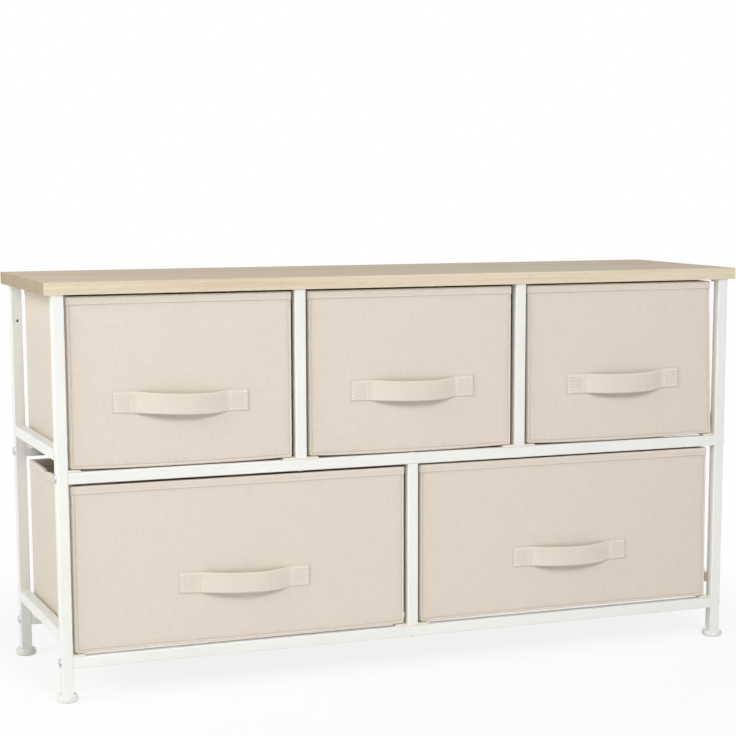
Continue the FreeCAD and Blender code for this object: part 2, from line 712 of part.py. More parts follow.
def make_drawers():
    upper = ("Places.upper_bay", "Places.upper_drawer_bottom", "Places.upper_drawer_rim")
    lower = ("Places.lower_bay", "Places.lower_drawer_bottom", "Places.lower_drawer_rim")
    make_drawer("drawer_upper_left", "-Places.upper_pitch", *upper)
    make_drawer("drawer_upper_middle", "0", *upper)
    make_drawer("drawer_upper_right", "Places.upper_pitch", *upper)
    make_drawer("drawer_lower_left", "-Places.lower_pitch / 2", *lower)
    make_drawer("drawer_lower_right", "Places.lower_pitch / 2", *lower)


# ---------------------------------------------------------------- build

def check_document():
    """Stop if a feature failed, or a sub-part has no sound solid."""
    failed = [item.Name for item in doc.Objects if {"Invalid", "Error"} & set(item.State)]
    if failed:
        raise RuntimeError("failed features: " + ", ".join(failed))
    for item in nodes:
        shape = item.Shape
        if shape.isNull() or not shape.isValid() or not shape.Solids:
            raise RuntimeError("bad shape: " + item.Label)


def main():
    make_top_board()
    make_posts()
    make_side_rails()
    make_long_rails()
    make_dividers()
    make_rests()
    make_frame_bolts()
    make_divider_bolts()
    make_board_fixings()
    make_feet()
    make_drawers()
    doc.recompute()
    check_document()
    os.makedirs("parts", exist_ok=True)
    for item in nodes:
        item.Shape.exportStep("parts/%s.step" % item.Label)
    whole = Part.makeCompound([item.Shape for item in nodes]).BoundBox
    print("%d sub-parts, %.1f x %.1f x %.1f mm" % (len(nodes), whole.XLength, whole.YLength,
                                                   whole.ZLength))


main()
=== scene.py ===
# %% [markdown]
# # A fabric drawer dresser, dressed in Blender
#
# The solids of the dresser come from CAD: a frame of square steel tube, a laminated
# board and five sewn bins on four screw feet. This file gives them their looks. Hard parts
# that already have the right shape keep their CAD mesh and get a better material. The cloth
# of the bins, the strap handles, the bolts and the feet are made again here, because they
# need seams, stitches, soft edges and threads that a plain solid doesn't have.
#
# Everything is in metres, with +Z up and the drawers opening towards -Y.

# %% Load the CAD frame
import json
import math

import bmesh
import bpy
import numpy as np
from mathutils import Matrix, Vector, noise

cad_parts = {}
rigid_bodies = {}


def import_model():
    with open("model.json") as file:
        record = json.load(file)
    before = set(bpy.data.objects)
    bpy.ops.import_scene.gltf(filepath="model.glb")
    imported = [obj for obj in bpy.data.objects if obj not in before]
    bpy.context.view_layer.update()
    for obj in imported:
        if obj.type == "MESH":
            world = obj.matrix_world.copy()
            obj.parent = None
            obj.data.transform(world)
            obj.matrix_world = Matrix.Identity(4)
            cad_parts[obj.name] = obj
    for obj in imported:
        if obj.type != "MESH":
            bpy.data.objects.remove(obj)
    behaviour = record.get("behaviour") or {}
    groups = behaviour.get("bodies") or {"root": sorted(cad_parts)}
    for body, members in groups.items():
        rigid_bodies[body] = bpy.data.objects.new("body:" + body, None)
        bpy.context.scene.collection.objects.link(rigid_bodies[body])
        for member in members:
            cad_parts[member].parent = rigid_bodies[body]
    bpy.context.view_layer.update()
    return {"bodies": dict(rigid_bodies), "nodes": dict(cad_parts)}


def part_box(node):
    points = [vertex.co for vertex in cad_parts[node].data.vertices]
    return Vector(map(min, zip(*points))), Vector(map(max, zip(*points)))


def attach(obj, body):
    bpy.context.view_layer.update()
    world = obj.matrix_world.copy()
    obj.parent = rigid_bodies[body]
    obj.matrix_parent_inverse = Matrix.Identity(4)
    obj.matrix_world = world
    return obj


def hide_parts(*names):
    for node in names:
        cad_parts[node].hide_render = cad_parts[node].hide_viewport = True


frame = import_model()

MM = 0.001
nodes = frame["nodes"]
drawers = [name for name in frame["bodies"] if name.startswith("drawer_")]
feet = [name for name in frame["bodies"] if name.startswith("foot_")]
print(len(nodes), "CAD nodes,", len(drawers), "drawers,", len(feet), "feet")

# %% [markdown]
# ## Camera
#
# A product view of furniture is taken with a long lens from a little to one side and a
# little above, so that edges that are parallel on the object stay nearly parallel in the
# picture. The camera could be tilted until the object sits in the middle, but tilting makes
# upright posts lean. It is tilted only a little here, and the lens is shifted for the rest.

# %% Camera
def in_scene(name, data):
    """A new object of the scene, which stays at the origin unless it is moved."""
    item = bpy.data.objects.new(name, data)
    bpy.context.scene.collection.objects.link(item)
    return item


camera_data = bpy.data.cameras.new("camera")
camera_data.sensor_width = 36
camera_data.lens = 94.84
camera_data.shift_x = -0.0452
camera_data.shift_y = 0.1479
camera_data.clip_end = 50
camera = in_scene("camera", camera_data)
camera.location = (-0.99881, -2.55684, 0.68023)
camera.rotation_euler = (math.radians(90 - 8.981), 0, math.radians(-22.108))
bpy.context.scene.camera = camera
print("camera lens", camera_data.lens, "mm")

# %% [markdown]
# ## Nodes in one line
#
# Materials and geometry trees are both node trees. One helper adds a node, sets its own
# properties, and fills its inputs with either a value or the output of another node. With
# it a tree reads from top to bottom like a recipe. Colours are written as the hex values
# a painter's tool shows, and one function turns them into the linear values of the renderer.

# %% Helpers for node trees
def colour(hex_value):
    """An sRGB hex colour as linear RGBA."""
    parts = [int(hex_value[i:i + 2], 16) / 255 for i in (0, 2, 4)]
    linear = [c / 12.92 if c <= 0.04045 else ((c + 0.055) / 1.055) ** 2.4 for c in parts]
    return (*linear, 1.0)


def grey(value):
    return (value, value, value, 1.0)


def add_node(tree, kind, sockets=None, stops=None, **settings):
    """One node with its settings; a socket gets a value or another node's output."""
    made = tree.nodes.new(kind)
    for name, value in settings.items():
        setattr(made, name, value)
    for key, value in (sockets or {}).items():
        if isinstance(value, bpy.types.NodeSocket):
            tree.links.new(value, made.inputs[key])
        else:
            made.inputs[key].default_value = value
    if stops:
        ramp = made.color_ramp.elements
        while len(ramp) < len(stops):
            ramp.new(0.5)
        for element, (position, value) in zip(ramp, stops):
            element.position = position
            element.color = value
    return made


def calculate(tree, operation, *values, **settings):
    """The result of one operation on numbers or outputs."""
    return add_node(tree, "ShaderNodeMath", dict(enumerate(values)), operation=operation,
                    **settings).outputs[0]


print("helpers for node trees")

# %% [markdown]
# ### Steps that every finish needs
#
# A finish is mostly noise: one pattern decides between two or three tones, another raises
# and sinks the surface a little. The patterns could be pictures, but noise has no seams and
# no largest size. It is read at a place on the object, so it needs no UV map, and a place
# that is stretched first gives streaks.

# %% Helpers for materials
MIX_FACTOR, MIX_A, MIX_B, MIX_RESULT = 0, 6, 7, 2   # sockets of a Mix node set to colours


def start_material(name, **shader):
    """A material with its shader; each keyword is the name of one of its sockets."""
    material = bpy.data.materials.new(name)
    material.use_nodes = True
    tree = material.node_tree
    surface = tree.nodes["Principled BSDF"]
    for key, value in shader.items():
        surface.inputs[key.replace("_", " ").title().replace("Ior", "IOR")].default_value = value
    return material, tree, surface


def object_place(tree):
    """Where a point lies on the object, in metres."""
    return add_node(tree, "ShaderNodeTexCoord").outputs["Object"]


def pattern(tree, place, scale=1.0, detail=2.0, distortion=0.0, stretch=None):
    """Noise from 0 to 1; the scale is about how many spots lie on a metre."""
    if stretch:
        place = add_node(tree, "ShaderNodeMapping", {"Vector": place, "Scale": stretch}).outputs[0]
    return add_node(tree, "ShaderNodeTexNoise", {"Vector": place, "Scale": scale, "Detail": detail,
                                                 "Distortion": distortion}).outputs["Fac"]


def tones(tree, value, *stops):
    """The colour that a value has on a ramp of positions and colours."""
    return add_node(tree, "ShaderNodeValToRGB", {"Fac": value}, stops).outputs["Color"]


def blend(tree, kind, amount, first, second):
    """Two colours in one."""
    return add_node(tree, "ShaderNodeMix", {MIX_FACTOR: amount, MIX_A: first, MIX_B: second},
                    data_type="RGBA", blend_type=kind).outputs[MIX_RESULT]


def cover(tree, surface, tint, height=None, strength=0.0, depth=0.0, invert=False):
    """Gives a surface its colour and, from a height, its bumps."""
    tree.links.new(tint, surface.inputs["Base Color"])
    if height:
        bump = add_node(tree, "ShaderNodeBump", {"Height": height, "Strength": strength,
                                                 "Distance": depth}, invert=invert)
        tree.links.new(bump.outputs["Normal"], surface.inputs["Normal"])


def mottled(name, spots, stops, grain=None, strength=0.0, depth=0.0, **shader):
    """A whole finish: one pattern for the tone and one for the bumps, as scale and detail."""
    material, tree, surface = start_material(name, **shader)
    place = object_place(tree)
    tint = tones(tree, pattern(tree, place, *spots), *stops)
    cover(tree, surface, tint, grain and pattern(tree, place, *grain), strength, depth)
    print("made", name)
    return material


print("helpers for materials")

# %% [markdown]
# ## Room light
#
# Furniture is shown on a white sweep under soft lamps. The floor here is a plain pale
# plane. A camera ray sees it mostly as white, with part of its real shading mixed in, so
# that the soft shadow under the dresser stays. Further away it is all white, and so no
# horizon shows. The world is white where the camera or a shiny surface looks at it, and
# gives the object an even light.
#
# The main lamp stands high in front, so that each strap throws a shadow below itself. A
# second one at the left is a little warmer and lights the side, and its light falls off
# along the top. A low card beside it fills the left side and the far foot, and a long one
# in front of the feet throws some light back at the lowest rail, as a white floor does. A
# weak lamp behind at the right, no higher than the top so that it can't glare there, keeps
# the far sides readable.

# %% Floor, world and lamps
FLOOR_WHITENESS = 0.84     # how much of the floor near the dresser is seen as plain white
FLOOR_NEAR, FLOOR_FAR = 0.5, 0.85      # from here outwards it grows whiter, up to all white
FLOOR_HALF = 9.0
WORLD_LIGHT = 0.26         # how strongly the world lights the object
WHITE_TINT, WARM_TINT, WARMER_TINT = (1.0, 1.0, 1.0), (1.0, 1.0, 0.98), (1.0, 0.99, 0.94)
# Name, place, the point it faces, width and height, watts and tint.
LAMPS = [
    ("front_softbox", (-0.08, -2.9, 2.5), (0.0, -0.1, 0.3), (0.9, 1.2), 58, WHITE_TINT),
    ("side_softbox", (-2.0, -0.5, 1.4), (-0.4, 0.0, 0.3), (0.9, 0.9), 20, WARM_TINT),
    ("side_card", (-2.2, 0.3, 0.3), (-0.5, 0.0, 0.25), (1.4, 0.5), 2.5, WARMER_TINT),
    ("back_softbox", (2.0, 1.9, 0.28), (0.1, 0.0, 0.28), (1.6, 0.4), 18, WHITE_TINT),
    ("low_card", (0.0, -1.1, 0.05), (0.0, 0.0, 0.03), (1.8, 0.08), 0.7, WHITE_TINT)]


def direct_looks(tree):
    """1 where the camera, a reflection or a clear part looks at a surface, else 0."""
    rays = add_node(tree, "ShaderNodeLightPath").outputs
    direct = calculate(tree, "ADD", rays["Is Camera Ray"], rays["Is Glossy Ray"])
    return calculate(tree, "ADD", direct, rays["Is Transmission Ray"], use_clamp=True)


def finish_tree(tree, output, amount, lit, shown):
    """Mixes the shader that throws light with the one that is seen, and ends the tree."""
    mixed = add_node(tree, "ShaderNodeMixShader", {0: amount, 1: lit.outputs[0],
                                                   2: shown.outputs[0]})
    add_node(tree, output, {"Surface": mixed.outputs[0]})


def make_floor():
    mesh = bpy.data.meshes.new("floor")
    corners = [(-1, -1), (1, -1), (1, 1), (-1, 1)]
    mesh.from_pydata([(x * FLOOR_HALF, y * FLOOR_HALF, 0) for x, y in corners], [], [(0, 1, 2, 3)])
    in_scene("floor", mesh)
    material = bpy.data.materials.new("white_sweep")
    material.use_nodes = True
    tree = material.node_tree
    tree.nodes.clear()
    away = add_node(tree, "ShaderNodeVectorMath", {0: object_place(tree)}, operation="LENGTH")
    whiteness = add_node(tree, "ShaderNodeMapRange", {
        "Value": away.outputs["Value"], "From Min": FLOOR_NEAR, "From Max": FLOOR_FAR,
        "To Min": FLOOR_WHITENESS})
    seen = calculate(tree, "MULTIPLY", direct_looks(tree), whiteness.outputs["Result"])
    matt = add_node(tree, "ShaderNodeBsdfDiffuse", {"Color": grey(0.95)})
    white = add_node(tree, "ShaderNodeEmission", {"Color": grey(1.0), "Strength": 1.0})
    finish_tree(tree, "ShaderNodeOutputMaterial", seen, matt, white)
    mesh.materials.append(material)


def make_world():
    world = bpy.data.worlds.new("white_room")
    world.use_nodes = True
    bpy.context.scene.world = world
    tree = world.node_tree
    tree.nodes.clear()
    lighting, backdrop = (add_node(tree, "ShaderNodeBackground", {"Color": grey(1.0), "Strength": light})
                          for light in (WORLD_LIGHT, 1.0))
    finish_tree(tree, "ShaderNodeOutputWorld", direct_looks(tree), lighting, backdrop)


def make_lamp(name, place, aim, size, watts, tint):
    data = bpy.data.lights.new(name, "AREA")
    data.shape = "RECTANGLE"
    data.size, data.size_y = size
    data.energy = watts
    data.color = tint
    lamp = in_scene(name, data)
    lamp.location = place
    lamp.rotation_euler = (Vector(aim) - Vector(place)).to_track_quat("-Z", "Y").to_euler()


make_floor()
make_world()
for lamp in LAMPS:
    make_lamp(*lamp)
bpy.context.scene.view_settings.view_transform = "Standard"
print("floor, world and", len(LAMPS), "lamps and cards")

# %% [markdown]
# ## Painted steel
#
# The tubes are mild steel with a white powder coat, which is sprayed on dry and baked. It
# melts into a tough satin skin with a very slight orange peel, about 1.5 mm from bump to
# bump, and it is a touch creamier where it gathers thick. A fine pattern makes the peel and
# a broad one the cream.

# %% Material: white powder coat
powder_coat = mottled("white_powder_coated_steel", (9.0, 3.0),
                      [(0.3, colour("eeefeb")), (0.7, colour("f3f4f0"))],
                      grain=(650.0, 2.0), strength=0.12, depth=0.12 * MM, roughness=0.38, ior=1.5)

# %% [markdown]
# ## Wood-grain melamine
#
# The top is particle board under a printed melamine foil. The print is a quiet, straight
# grain that runs along the board: broad bands of tone, fine lines, and short dark pores a
# few millimetres long. All three are the same noise, stretched along X by different
# amounts. The foil is matt, with pores pressed a few hundredths of a millimetre deep. The
# edge strips carry the same print in a lighter tone, and on the two ends a painted shade
# makes it darker. The underside is a plain backing foil.

# %% Material: printed melamine
def wood_grain(name, light, middle, dark, underside, ends=grey(1.0)):
    material, tree, surface = start_material(name, roughness=0.52, ior=1.48)
    place = object_place(tree)
    # Metres are stretched along X: bands 40 mm wide, lines 3 mm, pores under 1 mm.
    bands = pattern(tree, place, detail=4.0, distortion=0.6, stretch=(0.9, 26.0, 26.0))
    lines = pattern(tree, place, detail=3.0, stretch=(4.0, 330.0, 330.0))
    pores = pattern(tree, place, detail=1.0, stretch=(60.0, 1100.0, 1100.0))
    tone = calculate(tree, "MULTIPLY", calculate(tree, "ADD", bands, lines), 0.5)
    printed = tones(tree, tone, (0.36, dark), (0.5, middle), (0.62, light))
    pits = tones(tree, pores, (0.62, grey(0.0)), (0.72, grey(1.0)))
    pored = blend(tree, "MULTIPLY", calculate(tree, "MULTIPLY", pits, 0.35), printed, dark)
    facing = add_node(tree, "ShaderNodeNewGeometry").outputs["Normal"]
    facing = add_node(tree, "ShaderNodeSeparateXYZ", {"Vector": facing}).outputs
    # The two ends, the faces that look along X, are darkened by the ends colour: a painted shade.
    shaded_end_faces = calculate(tree, "GREATER_THAN", calculate(tree, "ABSOLUTE", facing["X"]), 0.7)
    end_shaded = blend(tree, "MULTIPLY", 1.0, pored, blend(tree, "MIX", shaded_end_faces, grey(1.0), ends))
    below = calculate(tree, "LESS_THAN", facing["Z"], -0.5)
    cover(tree, surface, blend(tree, "MIX", below, end_shaded, underside), pits, 0.25, 0.05 * MM,
          invert=True)
    print("made", name)
    return material


board_foil = wood_grain("wood_grain_melamine", colour("d0c0a8"), colour("c7b59b"),
                        colour("baa485"), colour("dcd6cb"))
# The edge strip's ends colour is a painted shade on its two end faces.
edge_foil = wood_grain("wood_grain_edge_strip", colour("e5d8c0"), colour("e0d2b8"),
                       colour("d6c4a4"), colour("e0d2b8"), ends=(0.55, 0.505, 0.43, 1.0))

# %% [markdown]
# ## Linen-look cloth
#
# The bins are sewn from a polyester cloth that imitates linen: a plain weave in which the
# threads swell and thin at random. Those swellings, the slubs, are what the eye reads as
# linen. The weave follows the cloth, so it is laid out on each piece's own UV map, which
# is in metres. The real threads are about 0.4 mm apart, too fine for a picture of the
# whole dresser, so the weave is drawn at 0.9 mm. A little sheen stands for the loose
# fibres at the surface. Each cloth piece also carries a number of painted light and shade,
# above zero on its crests, which get a painted highlight, and below zero in its creases,
# which get painted shade. The same recipe, warmer and with less sheen, is the lining of
# the bins.

# %% Material: woven cloth
WEAVE_PITCH = 0.9 * MM
# Slubs are streaks 25 mm long and one to two threads thick, in both directions.
SLUBS = [(40.0, 620.0, 1.0), (620.0, 40.0, 1.0)]


def woven_cloth(name, light, middle, dark, sheen):
    material, tree, surface = start_material(name, roughness=0.88, ior=1.45, sheen_weight=sheen,
                                             sheen_roughness=0.45)
    on_cloth = add_node(tree, "ShaderNodeUVMap", uv_map="cloth").outputs["UV"]
    threads = add_node(tree, "ShaderNodeVectorMath",
                       {0: on_cloth, 1: (1 / WEAVE_PITCH, 1 / WEAVE_PITCH, 0)},
                       operation="MULTIPLY").outputs[0]
    counted = add_node(tree, "ShaderNodeSeparateXYZ", {"Vector": threads}).outputs
    ridges = []
    for axis in ("X", "Y"):
        wave = calculate(tree, "SINE", calculate(tree, "MULTIPLY", counted[axis], math.pi))
        ridges.append(calculate(tree, "ABSOLUTE", wave))
    over = add_node(tree, "ShaderNodeTexChecker", {"Vector": threads, "Scale": 1.0}).outputs["Fac"]
    weave = blend(tree, "MIX", over, *ridges)
    level, upright = (pattern(tree, on_cloth, stretch=stretch) for stretch in SLUBS)
    slubs = calculate(tree, "MULTIPLY", calculate(tree, "ADD", level, upright), 0.5)
    tone = tones(tree, slubs, (0.38, dark), (0.5, middle), (0.62, light))
    shade = tones(tree, weave, (0.0, grey(0.988)), (0.6, grey(1.0)))
    woven = blend(tree, "MULTIPLY", 1.0, tone, shade)
    # Painted light and shade: creases are darkened as painted shade, crests lightened as a painted
    # highlight.
    relief = add_node(tree, "ShaderNodeAttribute", attribute_name="relief").outputs["Fac"]
    painted_light = add_node(tree, "ShaderNodeMapRange", {"Value": relief, "From Min": -1.0, "From Max": 1.0,
                                                 "To Min": 0.7, "To Max": 1.3}).outputs["Result"]
    cover(tree, surface, blend(tree, "MULTIPLY", 1.0, woven, painted_light),
          calculate(tree, "ADD", weave, slubs), 0.09, 0.2 * MM)
    print("made", name)
    return material


bin_cloth = woven_cloth("linen_look_polyester", colour("e4d9cc"), colour("e2d7c9"),
                        colour("dfd4c5"), 0.12)
lining_cloth = woven_cloth("lining_cloth", colour("ecdfcb"), colour("e7d9c4"),
                           colour("e0d0b8"), 0.05)

# %% [markdown]
# ## Thread, board, plastic and zinc
#
# Four small finishes. Sewing thread is bright, smooth and a little shiny, which is why
# seams glint against matt cloth. The stiffening boards are grey-brown pressed paper with
# visible fibres. The feet are moulded plastic, coloured through, with the fine etched face
# that a mould leaves. The bolts are zinc plated: a metal with soft cloudy patches.

# %% Materials: thread, board, plastic, zinc
thread = mottled("polyester_thread", (900.0, 2.0), [(0.3, colour("f6eee3")), (0.7, colour("fdf8f1"))],
                 roughness=0.55, ior=1.5, sheen_weight=0.3)
FIBRES = (260.0, 5.0, 1.5)
pressed_board = mottled("pressed_paper_board", FIBRES,
                        [(0.3, colour("75664f")), (0.5, colour("8c7b62")), (0.7, colour("a3927a"))],
                        grain=FIBRES, strength=0.3, depth=0.2 * MM, roughness=0.93, ior=1.45)
foot_plastic, rest_plastic, plug_plastic = (
    mottled(name, (60.0, 2.0), [(0.35, colour(dark)), (0.65, colour(light))],
            grain=(1600.0, 2.0), strength=0.2, depth=0.08 * MM, roughness=0.47, ior=1.49)
    for name, light, dark in (("moulded_foot_plastic", "f0f0ec", "e9e9e4"),
                              ("moulded_rest_plastic", "f0ebdf", "ebe5d6"),
                              ("moulded_plug_plastic", "e6e6e2", "dcdcd6")))

zinc, tree, surface = start_material("zinc_plated_steel", metallic=1.0)
patches = pattern(tree, object_place(tree), 320.0, 3.0)
cover(tree, surface, tones(tree, patches, (0.3, colour("b4b7ba")), (0.7, colour("d4d6d8"))))
rough = add_node(tree, "ShaderNodeMapRange", {"Value": patches, "To Min": 0.24, "To Max": 0.42})
tree.links.new(rough.outputs["Result"], surface.inputs["Roughness"])
print("made", zinc.name)

# %% [markdown]
# ## Finishes for the parts that stay
#
# The tubes, plates, board and inner parts already have their real shape, so they only
# change their material. The end of each CAD node's name says what it is made of, and what
# has none of these endings is painted steel.

# %% Paint the CAD nodes
FINISHES = {"top_board": board_foil, "_edging": edge_foil, "_nuts": plug_plastic,
            "_inserts": plug_plastic, "_side_boards": pressed_board, "_base_board": pressed_board,
            "_bolts": zinc, "_screws": zinc, "_rests": rest_plastic}

for name, node in nodes.items():
    fitting = [finish for ending, finish in FINISHES.items() if name.endswith(ending)]
    node.data.materials.clear()
    node.data.materials.append(fitting[0] if fitting else powder_coat)
print("painted", len(nodes), "nodes")

# %% [markdown]
# ## Turning points into pieces
#
# Cloth pieces are sheets of points in rows and columns. The helper below joins a grid of
# points with four-sided faces and writes a UV map in metres beside it, so that a weave
# keeps its true size on every piece. A piece that is made of several grids is merged
# afterwards, so that its seams are closed.

# %% Helpers for meshes
MERGE = 1e-6               # points nearer than this are one point


def merge_points(mesh, flatten=False):
    """Joins points that lie on each other and, if asked, faces that lie in one plane."""
    merged = bmesh.new()
    merged.from_mesh(mesh)
    bmesh.ops.remove_doubles(merged, verts=merged.verts, dist=MERGE)
    if flatten:
        bmesh.ops.dissolve_limit(merged, angle_limit=math.radians(1), verts=merged.verts,
                                 edges=merged.edges)
    merged.to_mesh(mesh)
    merged.free()


def apply_modifiers(item):
    """Replaces an object's mesh by what its modifiers make of it, and removes them."""
    shown = item.evaluated_get(bpy.context.evaluated_depsgraph_get())
    mesh = bpy.data.meshes.new_from_object(shown)
    item.modifiers.clear()
    item.data = mesh


class Sheet:
    """Points, faces and UVs that grow grid by grid into one mesh."""

    def __init__(self):
        self.points, self.faces, self.uvs, self.relief = [], [], [], []

    def add(self, grid, uv, wrap=False, relief=0.0):
        """A grid of points (rows, columns, 3), its UVs (rows, columns, 2) and its painted shading."""
        rows, columns = grid.shape[:2]
        start = len(self.points)
        self.points.extend(map(tuple, grid.reshape(-1, 3)))
        self.relief.extend((np.zeros((rows, columns)) + relief).ravel())
        for r in range(rows - 1):
            for c in range(columns if wrap else columns - 1):
                corner = [(r, c), (r, c + 1), (r + 1, c + 1), (r + 1, c)]
                self.faces.append([start + a * columns + b % columns for a, b in corner])
                self.uvs.extend(uv[a, b] for a, b in corner)

    def add_rod(self, grid, uv, relief=0.0):
        """A wrapped grid whose first and last row are closed with a face."""
        start, columns = len(self.points), grid.shape[1]
        self.add(grid, uv, wrap=True, relief=relief)
        end = len(self.points)
        self.faces += [list(range(start, start + columns))[::-1], list(range(end - columns, end))]
        self.uvs.extend([(0.0, 0.0)] * (2 * columns))

    def piece(self, name, material, thickness=0.0):
        """The finished object; a thickness grows behind the faces, into the wall."""
        mesh = bpy.data.meshes.new(name)
        mesh.from_pydata(self.points, [], self.faces)
        mesh.uv_layers.new(name="cloth").data.foreach_set("uv", np.array(self.uvs, "f").ravel())
        mesh.attributes.new("relief", "FLOAT", "POINT").data.foreach_set("value", self.relief)
        merge_points(mesh)
        mesh.shade_smooth()
        mesh.materials.append(material)
        item = in_scene(name, mesh)
        if thickness:
            wall = item.modifiers.new("wall", "SOLIDIFY")
            wall.thickness = thickness
            wall.offset = -1
            apply_modifiers(item)
        return item


print("helpers for meshes")

# %% [markdown]
# ### Numbers that shape cloth
#
# Smooth noise and a few curves do most of the shaping. All of them are plain functions of a
# place, so that any two pieces that meet there get the same answer.

# %% Helpers for shapes
def clamp(value):
    """The value, kept between 0 and 1."""
    return min(max(value, 0.0), 1.0)


def share(value, low, high):
    """How far a value lies on the way from one end (0) to the other (1)."""
    return (value - low) / (high - low)


def gentle(x, y, z, size, seed):
    """A smooth random value from -1 to 1 that changes over about the given size."""
    return noise.noise(Vector((x / size + 17.3 * seed, y / size - 5.1 * seed, z / size)))


def swell(t):
    """0 at both ends and 1 in the middle, rising quickly near the ends."""
    return max(math.sin(math.pi * clamp(t)), 0.0) ** 0.6


def between(low, high, step):
    """Evenly spaced values strictly between two ends."""
    return list(np.linspace(low, high, max(int(round((high - low) / step)), 2) + 1)[1:-1])


def lengths(points, closed=True):
    """How far along the line each point lies, with one more value for a closed ring's end."""
    ends = np.roll(points, -1, axis=0) if closed else points[1:]
    steps = np.linalg.norm(ends - points[:len(ends)], axis=1)
    return np.concatenate([[0.0], np.cumsum(steps)])


print("helpers for shapes")

# %% [markdown]
# ## The outer skin of a bin
#
# A bin is sewn from a front, a back and one long strip that forms the sides and the
# bottom. Where the panels meet, the seam allowance is folded into the edge and sewn from
# the inside, which leaves a rolled edge about 4 mm wide with a sunken line beside it. Those
# rolls catch the light, and a painted highlight on each roll and painted shade in its sunken
# line help them outline every front.
#
# The front could be a box with bevelled edges, but then the rolls would be missing. Here
# it is a grid whose first lines follow the outline at fixed distances, also round the
# bottom corners, and a small table gives the height of the cloth at each distance. The
# strip is swept from front to back with a table of its own.

# %% Panel grids with rolled edges
CORNER = 6.0 * MM          # size of the gridded patch at each bottom corner of a panel
ROUND = 4.0 * MM           # radius of the corner itself
LEAST_ROUND = 0.2 * MM     # and of the innermost lines that follow it
FACE_PROUD = 0.9 * MM      # the cloth stands off the CAD face, so that seams can sink
SKIN = 0.9 * MM
STEP = 8.0 * MM            # spacing of the plain part of the grid
# Distance from the outline, height of the cloth there against the face, and painted shading:
# a painted highlight on the roll's crest and painted shade in its sunken line.
ROLL = [(0.0, -3.0, -0.1), (0.4, -1.2, 0.1), (1.1, -0.15, 0.12), (1.9, 0.3, 0.12), (2.8, 0.1, 0.0),
        (3.5, -0.45, -0.25), (3.9, -0.8, -0.4), (4.3, -0.8, -0.4), (4.9, -0.35, -0.15),
        (6.0, 0.0, 0.0)]
OFFSETS = [distance * MM for distance, _, _ in ROLL]
# The same seam on the strip: distance behind the face, how far it sinks, and painted shading,
# with a painted highlight before the sunken line and painted shade in it.
STRIP_ROLL = [(3.0, 0.0, 0.0), (4.4, 0.0, 0.15), (5.2, 0.06, -0.3), (5.8, 0.08, -0.7),
              (6.6, 0.04, -0.3), (8.0, 0.0, 0.0), (10.0, 0.0, 0.0)]
# Below the hem: distance under the rim, and painted shade, which stands for the shade that
# the hem's lower edge throws on the skin.
UNDER_HEM = [(0.0, 0.0), (8.5, 0.0), (10.4, -0.15), (11.2, -0.15), (12.4, -0.05), (15.0, 0.0)]


def rounded_turn(offset, along):
    """A point on half a rounded corner, from its diagonal (0) to the end of its patch (1).

    Gives the distances from the two outer lines, the larger one first.
    """
    radius = max(ROUND - offset, LEAST_ROUND)
    arc, straight = radius * math.pi / 4, CORNER - offset - radius
    walked = along * (arc + straight)
    if walked > arc:
        return offset + radius + walked - arc, offset
    turn = math.pi / 4 + walked / radius
    return offset + radius * (1 - math.cos(turn)), offset + radius * (1 - math.sin(turn))


def panel_grid(x0, x1, z0, z1):
    """Grid lines that follow the left, bottom and right outline, and each point's distance."""
    xs = [x0 + d for d in OFFSETS] + between(x0 + CORNER, x1 - CORNER, STEP) \
        + [x1 - d for d in reversed(OFFSETS)]
    zs = [z0 + d for d in OFFSETS] + between(z0 + CORNER, z1 - UNDER_HEM[-1][0] * MM, STEP) \
        + [z1 - d * MM for d, _ in reversed(UNDER_HEM)]
    last = len(OFFSETS) - 1
    grid = np.zeros((len(zs), len(xs), 3))      # x, z and the distance from the outline
    for j, z in enumerate(zs):
        for i, x in enumerate(xs):
            side = min(i, len(xs) - 1 - i)
            grid[j, i] = x, z, min(x - x0, x1 - x, z - z0)
            if side > last or j > last:
                continue
            ring = min(side, j)
            far, near = rounded_turn(OFFSETS[ring], (max(side, j) - ring) / max(last - ring, 1))
            dx, dz = (far, near) if j < side else (near, far)
            grid[j, i] = (x0 + dx if i <= last else x1 - dx), z0 + dz, OFFSETS[ring]
    return grid


print("a roll is drawn with", len(ROLL), "lines")

# %% [markdown]
# ## How the cloth lies
#
# Cloth over a board is never quite flat: it stands off a little in the middle and ripples
# softly. The rim is only cloth, because the boards end below the hem, so it dips and waves
# by a millimetre or two. Both are smooth random fields. The bottom sags between the rests
# that carry it, or is sewn so tight that it arches a little. A bin that has been pulled a
# few times leans: its sides no longer stand midway between the tubes. Every piece of a bin
# asks the same functions where the cloth is, so skin, hem, lining, boards, strap and
# stitches stay together.

# %% Shape of the cloth
SOFT_ZONE = 50.0 * MM      # how far the waves of the rim and the sag of the bottom reach
REST_LENGTH = 15.0 * MM    # how much of the bottom lies on a rest at each end
LINING_INSIDE = 0.8 * MM   # how far the lining lies inside the edge of the base board
# How far a wall bulges, how much it ripples on top of that, and the size of a ripple.
FRONT_BULGE, FRONT_RIPPLE, FRONT_SIZE = 0.7 * MM, 0.45 * MM, 75 * MM
SIDE_BULGE, SIDE_RIPPLE, SIDE_SIZE = 0.6 * MM, 0.4 * MM, 60 * MM
RIM_WAVE, RIM_SIZE = 0.55 * MM, 50 * MM
RIM_HELD = 0.25            # share of the wave that is left at the corners of the rim
# All the following are in mm, by bin, and what isn't named keeps the default.
# How far the left and right side stand off their place, each at the bottom and the rim.
LEAN = {"drawer_upper_middle": ((1.4, 1.4), (-0.5, -1.5)),
        "drawer_upper_right": ((2.6, 1.3), (-0.2, -8.2)),
        "drawer_lower_right": ((1.4, 1.4), (-4.8, -7.0))}
# How much higher the rim stands.
LIFT = {"drawer_lower_left": 0.4, "drawer_lower_right": 1.2}
